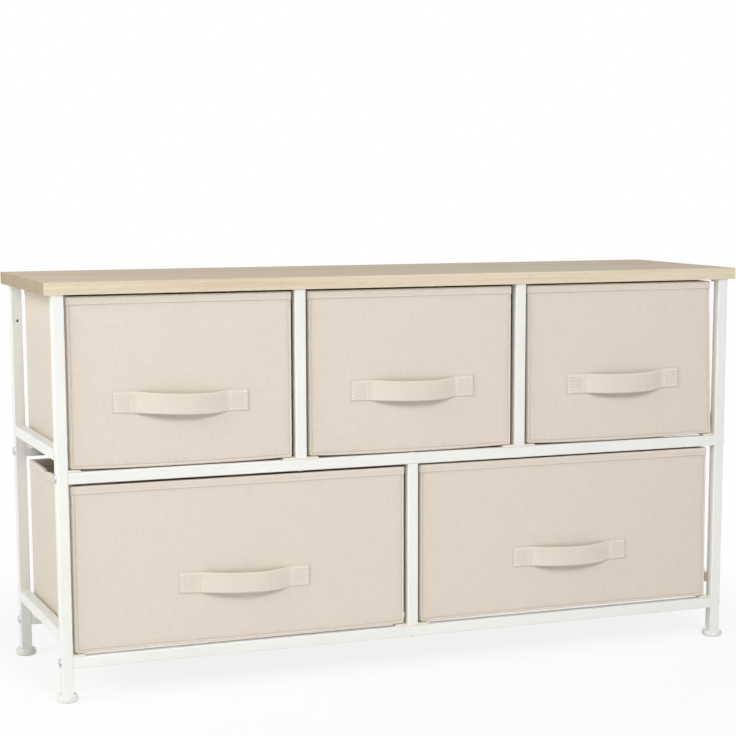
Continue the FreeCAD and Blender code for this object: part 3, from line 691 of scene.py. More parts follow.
# Where the left rim is pressed in: place behind the middle, half its length, and depth.
DIP = {"drawer_lower_left": (18, 9, 2.6)}
# How far the bottom sags towards its left and its right, or arches if negative.
SAG = {"drawer_lower_left": (-1.1, 1.4), "drawer_lower_right": (-1.0, -0.8)}


class Bin:
    """One drawer's measures, read from its CAD nodes, and the shape of its cloth."""

    def __init__(self, name, seed):
        self.name, self.seed = name, seed
        self.low, self.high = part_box(name + "_cover")
        self.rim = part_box(name + "_hem")[1].z
        base_low, base_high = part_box(name + "_base_board")
        self.inside = (base_low.x - self.low.x) + LINING_INSIDE
        self.floor = base_high.z
        self.face = self.low.y - FACE_PROUD
        self.back = self.high.y + FACE_PROUD
        self.dip = DIP.get(name, (0, 1, 0))
        self.lean = LEAN.get(name, ((0, 0), (0, 0)))
        self.lift = LIFT.get(name, 0) * MM
        self.sag = SAG.get(name, (1.8, 1.8))

    def bulge(self, along, z, most, ripple):
        """A bulge that is nothing at the edges of a wall and ripples in its middle."""
        return swell(along) * swell(share(z, self.low.z, self.high.z)) * (most + ripple)

    def front_bulge(self, x, z):
        """How far the front stands off its plane at a point."""
        return self.bulge(share(x, self.low.x, self.high.x), z, FRONT_BULGE,
                          FRONT_RIPPLE * gentle(x, 0, z, FRONT_SIZE, self.seed))

    def side_bulge(self, x, y, z):
        return self.bulge(share(y, self.low.y, self.high.y), z, SIDE_BULGE,
                          SIDE_RIPPLE * gentle(x, y, z, SIDE_SIZE, self.seed + 3))

    def rim_lift(self, x, y):
        """How far the rim rises or dips there: less at the corners, which hold it."""
        depth = min(y - self.low.y, self.high.y - y) / (self.high.y - self.low.y)
        loose = RIM_HELD + clamp(depth * 6)
        lift = self.lift + RIM_WAVE * loose * (gentle(x, y, 0, RIM_SIZE, self.seed + 7) - 0.35)
        if x < (self.low.x + self.high.x) / 2:
            place, reach, deep = self.dip
            lift -= deep * MM * math.exp(-((y - place * MM) / (reach * MM)) ** 2)
        return lift

    def settle(self, x, y, z):
        """The height of a point once the rim has dipped and the bottom has sagged."""
        near_rim = clamp(1 - (self.rim - z) / SOFT_ZONE)
        near_floor = clamp(1 - (z - self.low.z) / SOFT_ZONE)
        across = share(x, self.low.x + REST_LENGTH, self.high.x - REST_LENGTH)
        left, right = self.sag
        sag = (left + (right - left) * across) * MM * swell(across)
        return z + self.rim_lift(x, y) * near_rim ** 2 - sag * near_floor ** 2

    def sideways(self, x, z):
        """How far a point moves to the side because the bin leans."""
        across = clamp(share(x, self.low.x, self.high.x))
        up = clamp(share(z, self.low.z, self.rim))
        left, right = (low + (high - low) * up for low, high in self.lean)
        return (left + (right - left) * across) * MM

    def leaned(self, piece):
        """Leans a finished piece's points with the bin."""
        for vertex in piece.data.vertices:
            vertex.co.x += self.sideways(vertex.co.x, vertex.co.z)
        return piece


bins = [Bin(name, seed) for seed, name in enumerate(sorted(drawers))]
for b in bins:
    print(b.name, "is", round((b.high.x - b.low.x) * 1000), "mm wide")

# %% [markdown]
# ### Building the skin
#
# Three grids make it: the front, the back as its mirror image, and the strip. The strip
# starts on the very points where the front ends, so the two merge into one closed seam.
# A Solidify modifier then gives the sheet the thickness of cloth, inwards.

# %% Outer skins
STRIP_STEP = 10 * MM


def add_panels(b, sheet, flat, hem_shade):
    """The front and the back, with their rolls and the painted shade under the hem."""
    heights = np.interp(flat[:, :, 2], OFFSETS, [rise * MM for _, rise, _ in ROLL])
    relief = np.interp(flat[:, :, 2], OFFSETS, [value for _, _, value in ROLL])
    relief = np.where(hem_shade < 0, np.minimum(hem_shade, relief), relief)
    for y_plane, outwards in ((b.face, -1), (b.back, 1)):
        grid = np.zeros_like(flat)
        for j, i in np.ndindex(flat.shape[:2]):
            x, z = flat[j, i, :2]
            bulge = b.front_bulge(x if outwards < 0 else b.low.x + b.high.x - x, z)
            y = y_plane + outwards * (heights[j, i] + bulge)
            grid[j, i] = x, y, b.settle(x, y, z)
        # Rows run upwards and columns to the right, so the back is turned round.
        turned = slice(None, None, -outwards)
        sheet.add(grid[:, turned], flat[:, turned, :2], relief=relief[:, turned])


def add_strip(b, sheet, flat, hem_shade):
    """The sides and the bottom: the panel's outline, carried from front to back."""
    rows, columns = flat.shape[:2]
    outline = [(j, 0) for j in range(rows - 1, -1, -1)] + [(0, i) for i in range(1, columns)] \
        + [(j, columns - 1) for j in range(1, rows)]
    near = [(b.face + d * MM, sink * MM, value) for d, sink, value in STRIP_ROLL]
    far = [(b.back - d * MM, sink * MM, value) for d, sink, value in reversed(STRIP_ROLL)]
    stations = near + [(y, 0.0, 0.0) for y in between(near[-1][0], far[0][0], STRIP_STEP)] + far
    grid = np.zeros((len(outline), len(stations), 3))
    for r, place in enumerate(outline):
        x, z = flat[place][:2]
        sideways = float(x > b.high.x - CORNER) - float(x < b.low.x + CORNER)
        upright = clamp((z - b.low.z) / CORNER)
        for c, (y, sink, _) in enumerate(stations):
            end = c in (0, len(stations) - 1)
            push = 0.0 if end else upright * (b.side_bulge(x, y, z) - sink)
            grid[r, c] = x + sideways * push, y, b.settle(x, y, z)
    walked = lengths(np.array([flat[place][:2] for place in outline]), closed=False)
    uv = np.array([[(y, along) for y, _, _ in stations] for along in walked])
    relief = np.minimum(np.array([value for _, _, value in stations])[None, :],
                        np.array([hem_shade[place] for place in outline])[:, None])
    sheet.add(grid, uv, relief=relief)


def make_skin(b):
    flat = panel_grid(b.low.x, b.high.x, b.low.z, b.high.z)
    under = [(b.high.z - d * MM, value) for d, value in reversed(UNDER_HEM)]
    hem_shade = np.interp(flat[:, :, 1], *zip(*under))
    sheet = Sheet()
    add_panels(b, sheet, flat, hem_shade)
    add_strip(b, sheet, flat, hem_shade)
    skin = b.leaned(sheet.piece(b.name + "_skin", bin_cloth, SKIN))
    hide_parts(b.name + "_cover")
    return skin


skins = {b.name: make_skin(b) for b in bins}
print("skins have", sum(len(s.data.polygons) for s in skins.values()), "faces")

# %% [markdown]
# ### Rings round the rim
#
# The hem and the lining go all the way round the bin. A ring is a rectangle with rounded
# corners, always with the same number of points, so that rings of any size can be joined
# into one surface. Between the points of two rings, a share moves smoothly from one to the
# other, which is how the hem folds over the wall.

# %% Rings
CORNER_STEPS = 5
OUTER_ROUND, INNER_ROUND = 3.2 * MM, 1.2 * MM
LEAST_STEPS = 4


def ring(x0, x1, y0, y1, radius, step_count):
    """Points and outward directions of a rounded rectangle, counter-clockwise from above."""
    points, normals = [], []
    corners = [(x1 - radius, y0 + radius, -90), (x1 - radius, y1 - radius, 0),
               (x0 + radius, y1 - radius, 90), (x0 + radius, y0 + radius, 180)]
    for k, (cx, cy, start) in enumerate(corners):
        for s in range(CORNER_STEPS + 1):
            turn = math.radians(start + 90 * s / CORNER_STEPS)
            normal = (math.cos(turn), math.sin(turn))
            points.append((cx + radius * normal[0], cy + radius * normal[1]))
            normals.append(normal)
        nx, ny, start = corners[(k + 1) % 4]
        turn = math.radians(start)
        normal = (math.cos(turn), math.sin(turn))
        here, target = points[-1], (nx + radius * normal[0], ny + radius * normal[1])
        for s in range(1, step_count[k % 2]):
            t = s / step_count[k % 2]
            points.append((here[0] + (target[0] - here[0]) * t, here[1] + (target[1] - here[1]) * t))
            normals.append(normal)
    return np.array(points), np.array(normals)


def walls(b, step):
    """The rings on the outside of the skin and on the inside of the lining."""
    counts = [max(int((high - low) / step), LEAST_STEPS)
              for low, high in ((b.low.y, b.high.y), (b.low.x, b.high.x))]
    outer = ring(b.low.x, b.high.x, b.face, b.back, OUTER_ROUND, counts)
    inner = ring(b.low.x + b.inside, b.high.x - b.inside, b.low.y + b.inside, b.high.y - b.inside,
                 INNER_ROUND, counts)
    return outer, inner


print("a ring turns each corner in", CORNER_STEPS, "steps")

# %% [markdown]
# ### Hem
#
# The rim is finished with a folded strip of the same cloth, about 10 mm deep in front and
# a little deeper at the sides, stitched 2.7 mm above its lower edge. The stitch row pulls
# it in, so the strip bulges above and below. Its section is drawn once, as a closed line
# over the wall, and is carried round the two rings.

# %% Hems
# Share from the outer to the inner ring, distance off the wall, height against the rim, and
# painted shading: a painted highlight on the top fold, painted shade at the lower edge and in the
# groove.
HEM_SECTION = [
    (0, 0.1, -10.5, -0.3), (0, 0.7, -10.6, -0.2), (0, 0.95, -9.8, 0.0), (0, 0.9, -8.6, 0.0),
    (0, 0.7, -7.8, -0.1), (0, 0.9, -7.0, 0.0), (0, 1.05, -4.6, 0.0), (0, 1.0, -1.8, 0.1),
    (0, 0.8, -0.6, 0.3), (0, 0.1, -0.02, 0.3), (0.3, 0.0, 0.12, 0.1), (0.7, 0.0, 0.12, 0.1),
    (1, 0.1, -0.02, 0.1), (1, 0.5, -0.6, 0.1), (1, 0.65, -1.8, 0.0), (1, 0.65, -7.0, 0.0),
    (1, 0.45, -7.8, -0.2), (1, 0.65, -8.6, 0.0), (1, 0.55, -10.5, -0.4), (1, 0.08, -10.5, -0.5),
    (1, 0.04, -1.2, 0.0), (0.7, 0.0, -0.5, 0.0), (0.3, 0.0, -0.5, 0.0), (0, 0.04, -1.2, 0.0)]
HEM_STITCHES = -7.8       # height of the stitched groove against the rim, in mm
HEM_STEP = 6 * MM
HEM_LOOSE = 1.4 * MM      # how much deeper the hem hangs at the sides
HEM_MEAN, HEM_SIZE = 0.6, 40 * MM      # it hangs this share of that, more or less, unevenly
HEM_TIGHT, HEM_DEPTH = 2, 8   # mm under the rim that don't hang, and mm over which the rest does


def hem_drop(b, normal, x, y, up):
    """How much deeper a point of the hem hangs: only at the sides, and more further down."""
    uneven = HEM_MEAN + HEM_MEAN * gentle(x, y, 0, HEM_SIZE, b.seed + 11)
    loose = HEM_LOOSE * abs(normal[0]) * uneven
    return loose * max(-up - HEM_TIGHT, 0) / HEM_DEPTH


def make_hem(b):
    (outer, normals), (inner, _) = walls(b, HEM_STEP)
    rows = HEM_SECTION + HEM_SECTION[:1]
    grid = np.zeros((len(rows), len(outer), 3))
    for r, (part, off, up, _) in enumerate(rows):
        away = off * MM * (1 if part < 0.5 else -1)
        for c, normal in enumerate(normals):
            x, y = outer[c] * (1 - part) + inner[c] * part + normal * away
            deeper = hem_drop(b, normal, x, y, up) if part == 0 else 0
            grid[r, c] = x, y, b.rim + up * MM + b.rim_lift(x, y) - deeper
    around, section = lengths(outer), lengths(grid[:, 0], closed=False)
    uv = np.array([[(along, s) for along in around] for s in section])
    sheet = Sheet()
    sheet.add(grid, uv, wrap=True, relief=np.array([value for *_, value in rows])[:, None])
    hem = b.leaned(sheet.piece(b.name + "_hem_band", bin_cloth))
    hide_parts(b.name + "_hem")
    return hem


hems = {b.name: make_hem(b) for b in bins}
print("hems have", sum(len(h.data.polygons) for h in hems.values()), "faces")

# %% [markdown]
# ### Lining
#
# Inside, the boards are covered by a plain lining that reaches down to the loose base
# board. It is a ring raised from that board to the rim, with a soft ripple, and thick only
# as cloth is.

# %% Linings
LINING = 0.7 * MM
LINING_UNDER = 0.8 * MM    # how far the lining ends under the rim, inside the hem
LINING_COLUMN, LINING_ROW = 10 * MM, 9 * MM
LINING_RIPPLE, LINING_SIZE = 0.35 * MM, 50 * MM


def make_lining(b):
    _, (inner, normals) = walls(b, LINING_COLUMN)
    top = b.rim - LINING_UNDER
    levels = [b.floor] + between(b.floor, top, LINING_ROW) + [top]
    grid = np.zeros((len(levels), len(inner), 3))
    for r, z in enumerate(levels):
        for c, (x, y) in enumerate(inner):
            ripple = LINING_RIPPLE * swell(share(z, b.floor, b.rim)) \
                * (1 + gentle(x, y, z, LINING_SIZE, b.seed + 19))
            grid[r, c] = (x - normals[c][0] * ripple, y - normals[c][1] * ripple, b.settle(x, y, z))
    around = lengths(inner)
    uv = np.array([[(along, z) for along in around] for z in levels])
    sheet = Sheet()
    # Seen from inside the bin, so the columns run the other way round.
    sheet.add(grid[:, ::-1], uv[:, ::-1], wrap=True)
    lining = b.leaned(sheet.piece(b.name + "_lining", lining_cloth, LINING))
    return lining


linings = {b.name: make_lining(b) for b in bins}
print("linings have", sum(len(s.data.polygons) for s in linings.values()), "faces")

# %% [markdown]
# ### Boards
#
# Pressed paper boards keep the walls upright, and a loose one lies on the floor of the bin.
# Their CAD solids are right as they are, but in a bin that leans they have to lean too, or
# they would poke through the cloth. A copy of the mesh is merged, its cut edges are broken
# with a small bevel, and its points move with the bin.

# %% Boards that lean with their bin
BOARD_BREAK = 0.2 * MM


def broken_copy(node, name, material, width, segments=1):
    """A CAD node's shape with its sharp edges broken, as a piece that stands for it."""
    mesh = nodes[node].data.copy()
    merge_points(mesh, flatten=True)
    mesh.materials.clear()
    mesh.materials.append(material)
    piece = in_scene(name, mesh)
    bevel = piece.modifiers.new("edges", "BEVEL")
    bevel.width = width
    bevel.segments = segments
    apply_modifiers(piece)
    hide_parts(node)
    return piece


def make_boards(b):
    made = []
    for part in ("side_boards", "base_board"):
        board = broken_copy(b.name + "_" + part, b.name + "_cut_" + part, pressed_board, BOARD_BREAK)
        b.leaned(board)
        made.append(board)
    return made


boards = {b.name: make_boards(b) for b in bins}
print("cut", sum(len(pair) for pair in boards.values()), "sets of boards")

# %% [markdown]
# ## Strap handles
#
# A handle is a strip of the bin's cloth, folded double into a strap about 28 mm wide and
# sewn down over a square patch at each end. Between the patches it is longer than the gap
# it spans, so it bows out like a low bridge, with a crease where each patch holds it. Its
# section is a flat strap with soft edges, slightly hollow along the middle. It lies on the
# cloth wherever it is sewn, so it asks the front how far that stands off.

# %% Straps
STRAP_THICK = 1.9 * MM
STRAP_LONGER, STRAP_WIDER = 1.2 * MM, 0.8 * MM    # than the CAD strap: each end, and the width
BOW_LESS = 1.4 * MM        # than the CAD strap's bow, as the front's own bulge adds to it
BOW_POWER = 2.4            # how flat the middle of the bow is
BOW_START = 3.0 * MM       # the crease beside a patch
PATCH = 29.0 * MM
DROOP = 2.8 * MM           # how far the free part of a strap hangs below its patches
NARROWER = 0.05            # share of its width that the free part loses by curling in
LEAN_OUT = 0.15            # how much further the lower edge stands out than the middle
STRAP_UNEVEN = 0.012       # share of its width by which the strap's edge wanders
END_THIN = 0.72            # share of the thickness that is left at the very end
STRAP_STEP, PATCH_POINTS = 3 * MM, 9
# Across the strap: share of the half width, share of the thickness.
STRAP_SECTION = [(-0.9, 0.0), (-0.98, 0.2), (-1.0, 0.5), (-0.98, 0.8), (-0.9, 1.0), (-0.75, 1.04),
                 (-0.4, 0.98), (0.0, 0.96), (0.4, 0.98), (0.75, 1.04), (0.9, 1.0), (0.98, 0.8),
                 (1.0, 0.5), (0.98, 0.2), (0.9, 0.0), (0.4, 0.0), (-0.4, 0.0)]
# Hand sewing is never quite true: how far each strap sits to the right of its place and
# above it, in mm, and how much it rises to the right.
SEWN = {"drawer_upper_left": (-1.8, -0.4, -0.024), "drawer_upper_middle": (0.9, 2.9, 0.0),
        "drawer_upper_right": (3.1, 0.2, 0.019), "drawer_lower_left": (0.9, 0.4, -0.015),
        "drawer_lower_right": (3.7, 0.0, 0.0)}


class Strap:
    """The run of one handle, from its CAD node's box."""

    def __init__(self, b):
        low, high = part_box(b.name + "_handle")
        self.bin = b
        right, above, self.tilt = SEWN[b.name]
        self.x = (low.x + high.x) / 2 + right * MM
        self.z = (low.z + high.z) / 2 + above * MM
        self.half, self.width = (high.x - low.x) / 2 + STRAP_LONGER, high.z - low.z + STRAP_WIDER
        self.bow = high.y - low.y - STRAP_THICK - BOW_LESS
        self.span = self.half - PATCH

    def out(self, x):
        """How far the strap stands off the front at a distance from its middle."""
        near_end = clamp((self.span - abs(x)) / BOW_START)
        return self.bow * (1 - min(abs(x) / self.span, 1.0) ** BOW_POWER) * near_end ** 0.5

    def point(self, x, across, thick):
        """A point of the strap: along it, across it in metres, and in its thickness."""
        slope = (self.out(x + 0.5 * MM) - self.out(x - 0.5 * MM)) / MM
        steep = math.hypot(1, slope)
        # The free part hangs, more so towards the right, and curls in a little narrower.
        free = self.out(x) / self.bow
        z = self.z + across * (1 - NARROWER * free) - DROOP * free * (1 + 0.5 * x / self.span) \
            + self.tilt * x
        front = self.bin.face - self.bin.front_bulge(self.x + x, z)
        out = self.out(x) * (1.0 - LEAN_OUT * 2 * across / self.width)
        return (self.x + x + slope * thick / steep, front - out - thick / steep, z)


def make_strap(strap):
    xs = list(np.linspace(-strap.half, -strap.span, PATCH_POINTS)) \
        + between(-strap.span, strap.span, STRAP_STEP) \
        + list(np.linspace(strap.span, strap.half, PATCH_POINTS))
    grid = np.zeros((len(xs), len(STRAP_SECTION), 3))
    for r, x in enumerate(xs):
        # The cut ends are folded under, so the strap thins over the last millimetre.
        ends = min((strap.half - abs(x)) / MM, 1.0)
        for c, (across, thick) in enumerate(STRAP_SECTION):
            soft = 1 + STRAP_UNEVEN * gentle(x, across, 0, 30 * MM, strap.bin.seed + 23)
            grid[r, c] = strap.point(x, across * strap.width / 2 * soft,
                                     thick * STRAP_THICK * (END_THIN + (1 - END_THIN) * ends))
    # The sections differ by little, so one inside a patch is measured for all.
    section = lengths(grid[PATCH_POINTS // 2, :, 1:])
    uv = np.array([[(x, s) for s in section] for x in xs])
    # Painted light on the strap: a painted highlight along its rounded long edges, painted shade at its
    # folded ends.
    painted_light = np.array([0.12 * (abs(across) > 0.85) for across, _ in STRAP_SECTION])
    strap_end_shade = np.array([-0.35 if abs(x) > strap.half - MM else 0.0 for x in xs])
    sheet = Sheet()
    sheet.add_rod(grid, uv, relief=painted_light[None, :] + strap_end_shade[:, None])
    piece = strap.bin.leaned(sheet.piece(strap.bin.name + "_strap", bin_cloth))
    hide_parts(strap.bin.name + "_handle")
    return piece


straps = {b.name: Strap(b) for b in bins}
strap_pieces = {name: make_strap(strap) for name, strap in straps.items()}
print("straps bow out by", round(straps[drawers[0]].bow * 1000, 1), "mm")

# %% [markdown]
# ## Stitches, with Geometry Nodes
#
# Sewing is the same small shape repeated along a line, thousands of times. That is what
# Geometry Nodes are for. The script only draws the seam lines as loose edges. The tree
# turns them into curves, puts a point every stitch length, lays a small bead of thread
# on each point along the line, and gives it the thread's material. Length, gap and
# thickness are inputs, and a fixed seed keeps each run the same.

# %% Helpers for geometry trees
def start_tree(name, **inputs):
    """A tree with a geometry input and output; gives it, each input's identifier and outputs."""
    tree = bpy.data.node_groups.new(name, "GeometryNodeTree")
    tree.interface.new_socket("Geometry", in_out="INPUT", socket_type="NodeSocketGeometry")
    found = {key: tree.interface.new_socket(key, in_out="INPUT", socket_type=kind).identifier
             for key, kind in inputs.items()}
    tree.interface.new_socket("Geometry", in_out="OUTPUT", socket_type="NodeSocketGeometry")
    return tree, found, add_node(tree, "NodeGroupInput").outputs


def end_tree(tree, instances, material):
    """Turns the instances into a mesh, gives it its material and puts it out."""
    real = add_node(tree, "GeometryNodeRealizeInstances", {"Geometry": instances})
    dyed = add_node(tree, "GeometryNodeSetMaterial", {"Geometry": real.outputs["Geometry"],
                                                      "Material": material})
    add_node(tree, "NodeGroupOutput", {"Geometry": dyed.outputs["Geometry"]})
    print("the tree of", tree.name, "has", len(tree.nodes), "nodes")


def grow(mesh, tree, identifiers, **values):
    """The piece that a tree makes from a mesh of points or lines."""
    piece = in_scene(mesh.name, mesh)
    growing = piece.modifiers.new("growing", "NODES")
    growing.node_group = tree
    for key, value in values.items():
        growing[identifiers[key]] = value
    apply_modifiers(piece)
    piece.data.shade_smooth()
    return piece


print("helpers for geometry trees")

# %% The stitch tree
stitch_tree, stitch_inputs, given = start_tree(
    "stitches", pitch="NodeSocketFloat", length="NodeSocketFloat", thickness="NodeSocketFloat",
    material="NodeSocketMaterial")
line = add_node(stitch_tree, "GeometryNodeMeshToCurve", {"Mesh": given["Geometry"]})
spaced = add_node(stitch_tree, "GeometryNodeResampleCurve",
                  {"Curve": line.outputs["Curve"], "Length": given["pitch"]}, mode="LENGTH")
heading = add_node(stitch_tree, "GeometryNodeInputTangent")
turned = add_node(stitch_tree, "FunctionNodeAlignRotationToVector",
                  {"Vector": heading.outputs["Tangent"]}, axis="X")
size = add_node(stitch_tree, "ShaderNodeCombineXYZ",
                {"X": given["length"], "Y": given["thickness"], "Z": given["thickness"]})
uneven = add_node(stitch_tree, "FunctionNodeRandomValue",
                  {"Min": (0.88, 0.9, 0.9), "Max": (1.04, 1.1, 1.1), "Seed": 7},
                  data_type="FLOAT_VECTOR")
scaled = add_node(stitch_tree, "ShaderNodeVectorMath",
                  {0: size.outputs[0], 1: uneven.outputs["Value"]}, operation="MULTIPLY")
bead = add_node(stitch_tree, "GeometryNodeMeshUVSphere", {"Segments": 6, "Rings": 4, "Radius": 0.5})
sewn = add_node(stitch_tree, "GeometryNodeInstanceOnPoints",
                {"Points": spaced.outputs["Curve"], "Instance": bead.outputs["Mesh"],
                 "Rotation": turned.outputs["Rotation"], "Scale": scaled.outputs[0]})
end_tree(stitch_tree, sewn.outputs["Instances"], given["material"])

# %% [markdown]
# ### Seam lines
#
# Two kinds of seam show on a bin: a row round the hem, and a box with doubled upright
# columns on each patch of the handle. The panels are joined from the inside, where no thread
# shows. On a patch the lines lie on the cloth, so that each bead sinks half into it. The
# hem's row is pulled tighter, deeper into its groove.

# %% Seam lines of a bin
STITCH_PITCH, STITCH_LENGTH, STITCH_THICK = 4.2 * MM, 2.9 * MM, 1.05 * MM
HEM_ROW_OUT = 0.3 * MM     # of the wall's face; the groove's cloth is 0.7 mm out
# The box lies this far inside the strap's end, the start of the free part and the long edges.
BOX_END, BOX_FREE, BOX_EDGE = 2.6 * MM, 2.2 * MM, 3.0 * MM
BOX_COLUMN = 2.8 * MM      # from the box to the second column
BOX_POINTS = 8
BEAD_FACES = 24            # six sides in four rings


def hem_line(b):
    (outer, normals), _ = walls(b, HEM_STEP)
    line = []
    for (x, y), normal in zip(outer, normals):
        z = b.rim + HEM_STITCHES * MM + b.rim_lift(x, y) - hem_drop(b, normal, x, y, HEM_STITCHES)
        line.append((x + normal[0] * HEM_ROW_OUT, y + normal[1] * HEM_ROW_OUT, z))
    return line + line[:1]


def patch_lines(strap):
    """A box on each sewn end, and a second column beside each of its upright sides."""
    lines = []
    high = strap.width / 2 - BOX_EDGE
    for end in (-1, 1):
        outer, inner = end * (strap.half - BOX_END), end * (strap.span + BOX_FREE)
        corners = [(outer, -high), (inner, -high), (inner, high), (outer, high)]
        box = []
        for (xa, za), (xb, zb) in zip(corners, corners[1:] + corners[:1]):
            box += [strap.point(xa + (xb - xa) * t, za + (zb - za) * t, STRAP_THICK)
                    for t in np.linspace(0, 1, BOX_POINTS)[:-1]]
        lines.append(box + box[:1])
        for column in (outer - end * BOX_COLUMN, inner + end * BOX_COLUMN):
            lines.append([strap.point(column, up, STRAP_THICK)
                          for up in np.linspace(-high, high, BOX_POINTS)])
    return lines


def make_stitches(b):
    points, edges = [], []
    for line in [hem_line(b)] + patch_lines(straps[b.name]):
        edges += [(len(points) + k, len(points) + k + 1) for k in range(len(line) - 1)]
        points += line
    mesh = bpy.data.meshes.new(b.name + "_stitches")
    mesh.from_pydata(points, edges, [])
    piece = grow(mesh, stitch_tree, stitch_inputs, pitch=STITCH_PITCH, length=STITCH_LENGTH,
                 thickness=STITCH_THICK, material=thread)
    b.leaned(piece)
    return piece


stitches = {b.name: make_stitches(b) for b in bins}
print("stitches:", sum(len(s.data.polygons) for s in stitches.values()) // BEAD_FACES)

# %% [markdown]
# ## What the cloth was cut from
#
# A sewn bin starts as flat cloth. The skin is a cross: the bottom with a front, a back and
# two sides. The lining is a band as long as the inside of the walls, and the hem a narrow
# strip folded over the rim.


# %% [markdown]
# ## Screw feet
#
# A foot is a moulded disc with a threaded steel stud, which is hidden in the post until
# the foot is screwed out to level the dresser. The disc is a profile turned round the
# upright axis. The thread is a trick worth knowing: on a tube of points, the radius swings
# out and in with the height plus the angle, and that alone makes a true helix.

# %% Feet
# Radius and height in mm, from the middle of the underside to the middle of the top.
FOOT_PROFILE = [(0.0, 0.0), (9.0, 0.0), (11.6, 0.12), (13.2, 0.9), (14.1, 2.2), (14.5, 3.8),
                (14.5, 6.0), (14.1, 7.7), (13.1, 9.1), (11.4, 9.85), (9.0, 10.0), (0.0, 10.0)]
FOOT_SIDES = 48
STUD_RADIUS, STUD_PITCH, STUD_DEPTH, STUD_SIDES = 3.0 * MM, 1.0 * MM, 0.3 * MM, 20
STUD_START = 9.6 * MM      # inside the disc, whose top is at 10 mm
STEEL_ABOVE = 10.05 * MM   # faces above this are the stud's


def turned_grid(profile, steps):
    """Points of a profile (radius, height) turned round the Z axis."""
    turns = [2 * math.pi * c / steps for c in range(steps)]
    return np.array([[(radius * math.cos(turn), radius * math.sin(turn), z) for turn in turns]
                     for radius, z in profile])


def thread_grid(z0, z1, radius, pitch, steps, depth):
    """A threaded rod: the radius swings with height plus angle, so the ridge climbs."""
    levels = np.linspace(z0, z1, int((z1 - z0) / (pitch / 5)) + 1)
    grid = np.zeros((len(levels), steps, 3))
    for r, z in enumerate(levels):
        for c in range(steps):
            swing = (z / pitch - c / steps) % 1.0
            reach = radius - depth * abs(2 * swing - 1)
            turn = 2 * math.pi * c / steps
            grid[r, c] = reach * math.cos(turn), reach * math.sin(turn), z
    return grid


def plain_uv(grid):
    return np.zeros((grid.shape[0], grid.shape[1] + 1, 2))


def make_foot(name):
    low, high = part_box(name)
    middle = np.array([(low.x + high.x) / 2, (low.y + high.y) / 2, low.z])
    disc = turned_grid([(r * MM, z * MM) for r, z in FOOT_PROFILE], FOOT_SIDES)
    stud = thread_grid(STUD_START, high.z - low.z, STUD_RADIUS, STUD_PITCH, STUD_SIDES, STUD_DEPTH)
    sheet = Sheet()
    sheet.add(disc + middle, plain_uv(disc), wrap=True)
    sheet.add_rod(stud + middle, plain_uv(stud))
    foot = sheet.piece(name + "_turned", foot_plastic)
    foot.data.materials.append(zinc)
    for face in foot.data.polygons:
        face.material_index = int(face.center.z > low.z + STEEL_ABOVE)
    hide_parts(name)
    return foot


foot_pieces = {name: make_foot(name) for name in feet}
print("feet have", sum(len(f.data.polygons) for f in foot_pieces.values()), "faces")

# %% [markdown]
# ## Bolts, with Geometry Nodes
#
# The frame is held together by button-head bolts with a hex socket. All have the same form
# in different sizes, so the form is drawn once at size 1, and a tree sets a head and a
# threaded shank on every point of a small cloud. The places and sizes come from the CAD
# node: each of its loose parts is one bolt, its box gives the length, and the points far
# from its middle line show at which end the head is.

# %% Bolt shapes of size 1
HEAD_PROFILE = [(0.0, 0.0), (0.86, 0.0), (0.97, 0.05), (1.0, 0.14), (0.97, 0.34), (0.86, 0.6),
                (0.7, 0.82), (0.55, 0.95), (0.44, 1.0)]
HEAD_SIDES = 24
SOCKET_HALF = 0.33         # half the width over two flats of the hex socket
SOCKET_FLOOR, SOCKET_TIP = 0.62, 0.55      # heights of its floor at the flats and in the middle
SHANK_SIDES, SHANK_TURNS, SHANK_DEPTH = 14, 14, 0.12


def button_head():
    """A domed head of radius and height 1 on the XY plane, with a hex socket."""
    turns = [2 * math.pi * c / HEAD_SIDES for c in range(HEAD_SIDES)]
    reaches = [SOCKET_HALF / math.cos(turn % (math.pi / 3) - math.pi / 6) for turn in turns]
    socket = [[(reach * math.cos(turn), reach * math.sin(turn), depth)
               for turn, reach in zip(turns, reaches)] for depth in (1.0, SOCKET_FLOOR)]
    socket.append([(0.0, 0.0, SOCKET_TIP)] * HEAD_SIDES)
    whole = np.concatenate([turned_grid(HEAD_PROFILE, HEAD_SIDES), np.array(socket)])
    sheet = Sheet()
    sheet.add(whole, plain_uv(whole), wrap=True)
    return sheet.piece("bolt_head_form", zinc)


def shank():
    """A threaded rod of radius and length 1 below the XY plane."""
    rod = thread_grid(-1.0, 0.0, 1.0, 1 / SHANK_TURNS, SHANK_SIDES, SHANK_DEPTH)
    sheet = Sheet()
    sheet.add_rod(rod, plain_uv(rod))
    return sheet.piece("bolt_shank_form", zinc)


head_form, shank_form = button_head(), shank()
print("forms of", len(head_form.data.polygons), "and", len(shank_form.data.polygons), "faces")

# %% The bolt tree
bolt_tree, bolt_inputs, given = start_tree("bolts", head="NodeSocketObject",
                                           shank="NodeSocketObject", material="NodeSocketMaterial")


def stored(name):
    """A vector that each point of the cloud carries under this name."""
    return add_node(bolt_tree, "GeometryNodeInputNamedAttribute", {"Name": name},
                    data_type="FLOAT_VECTOR").outputs["Attribute"]


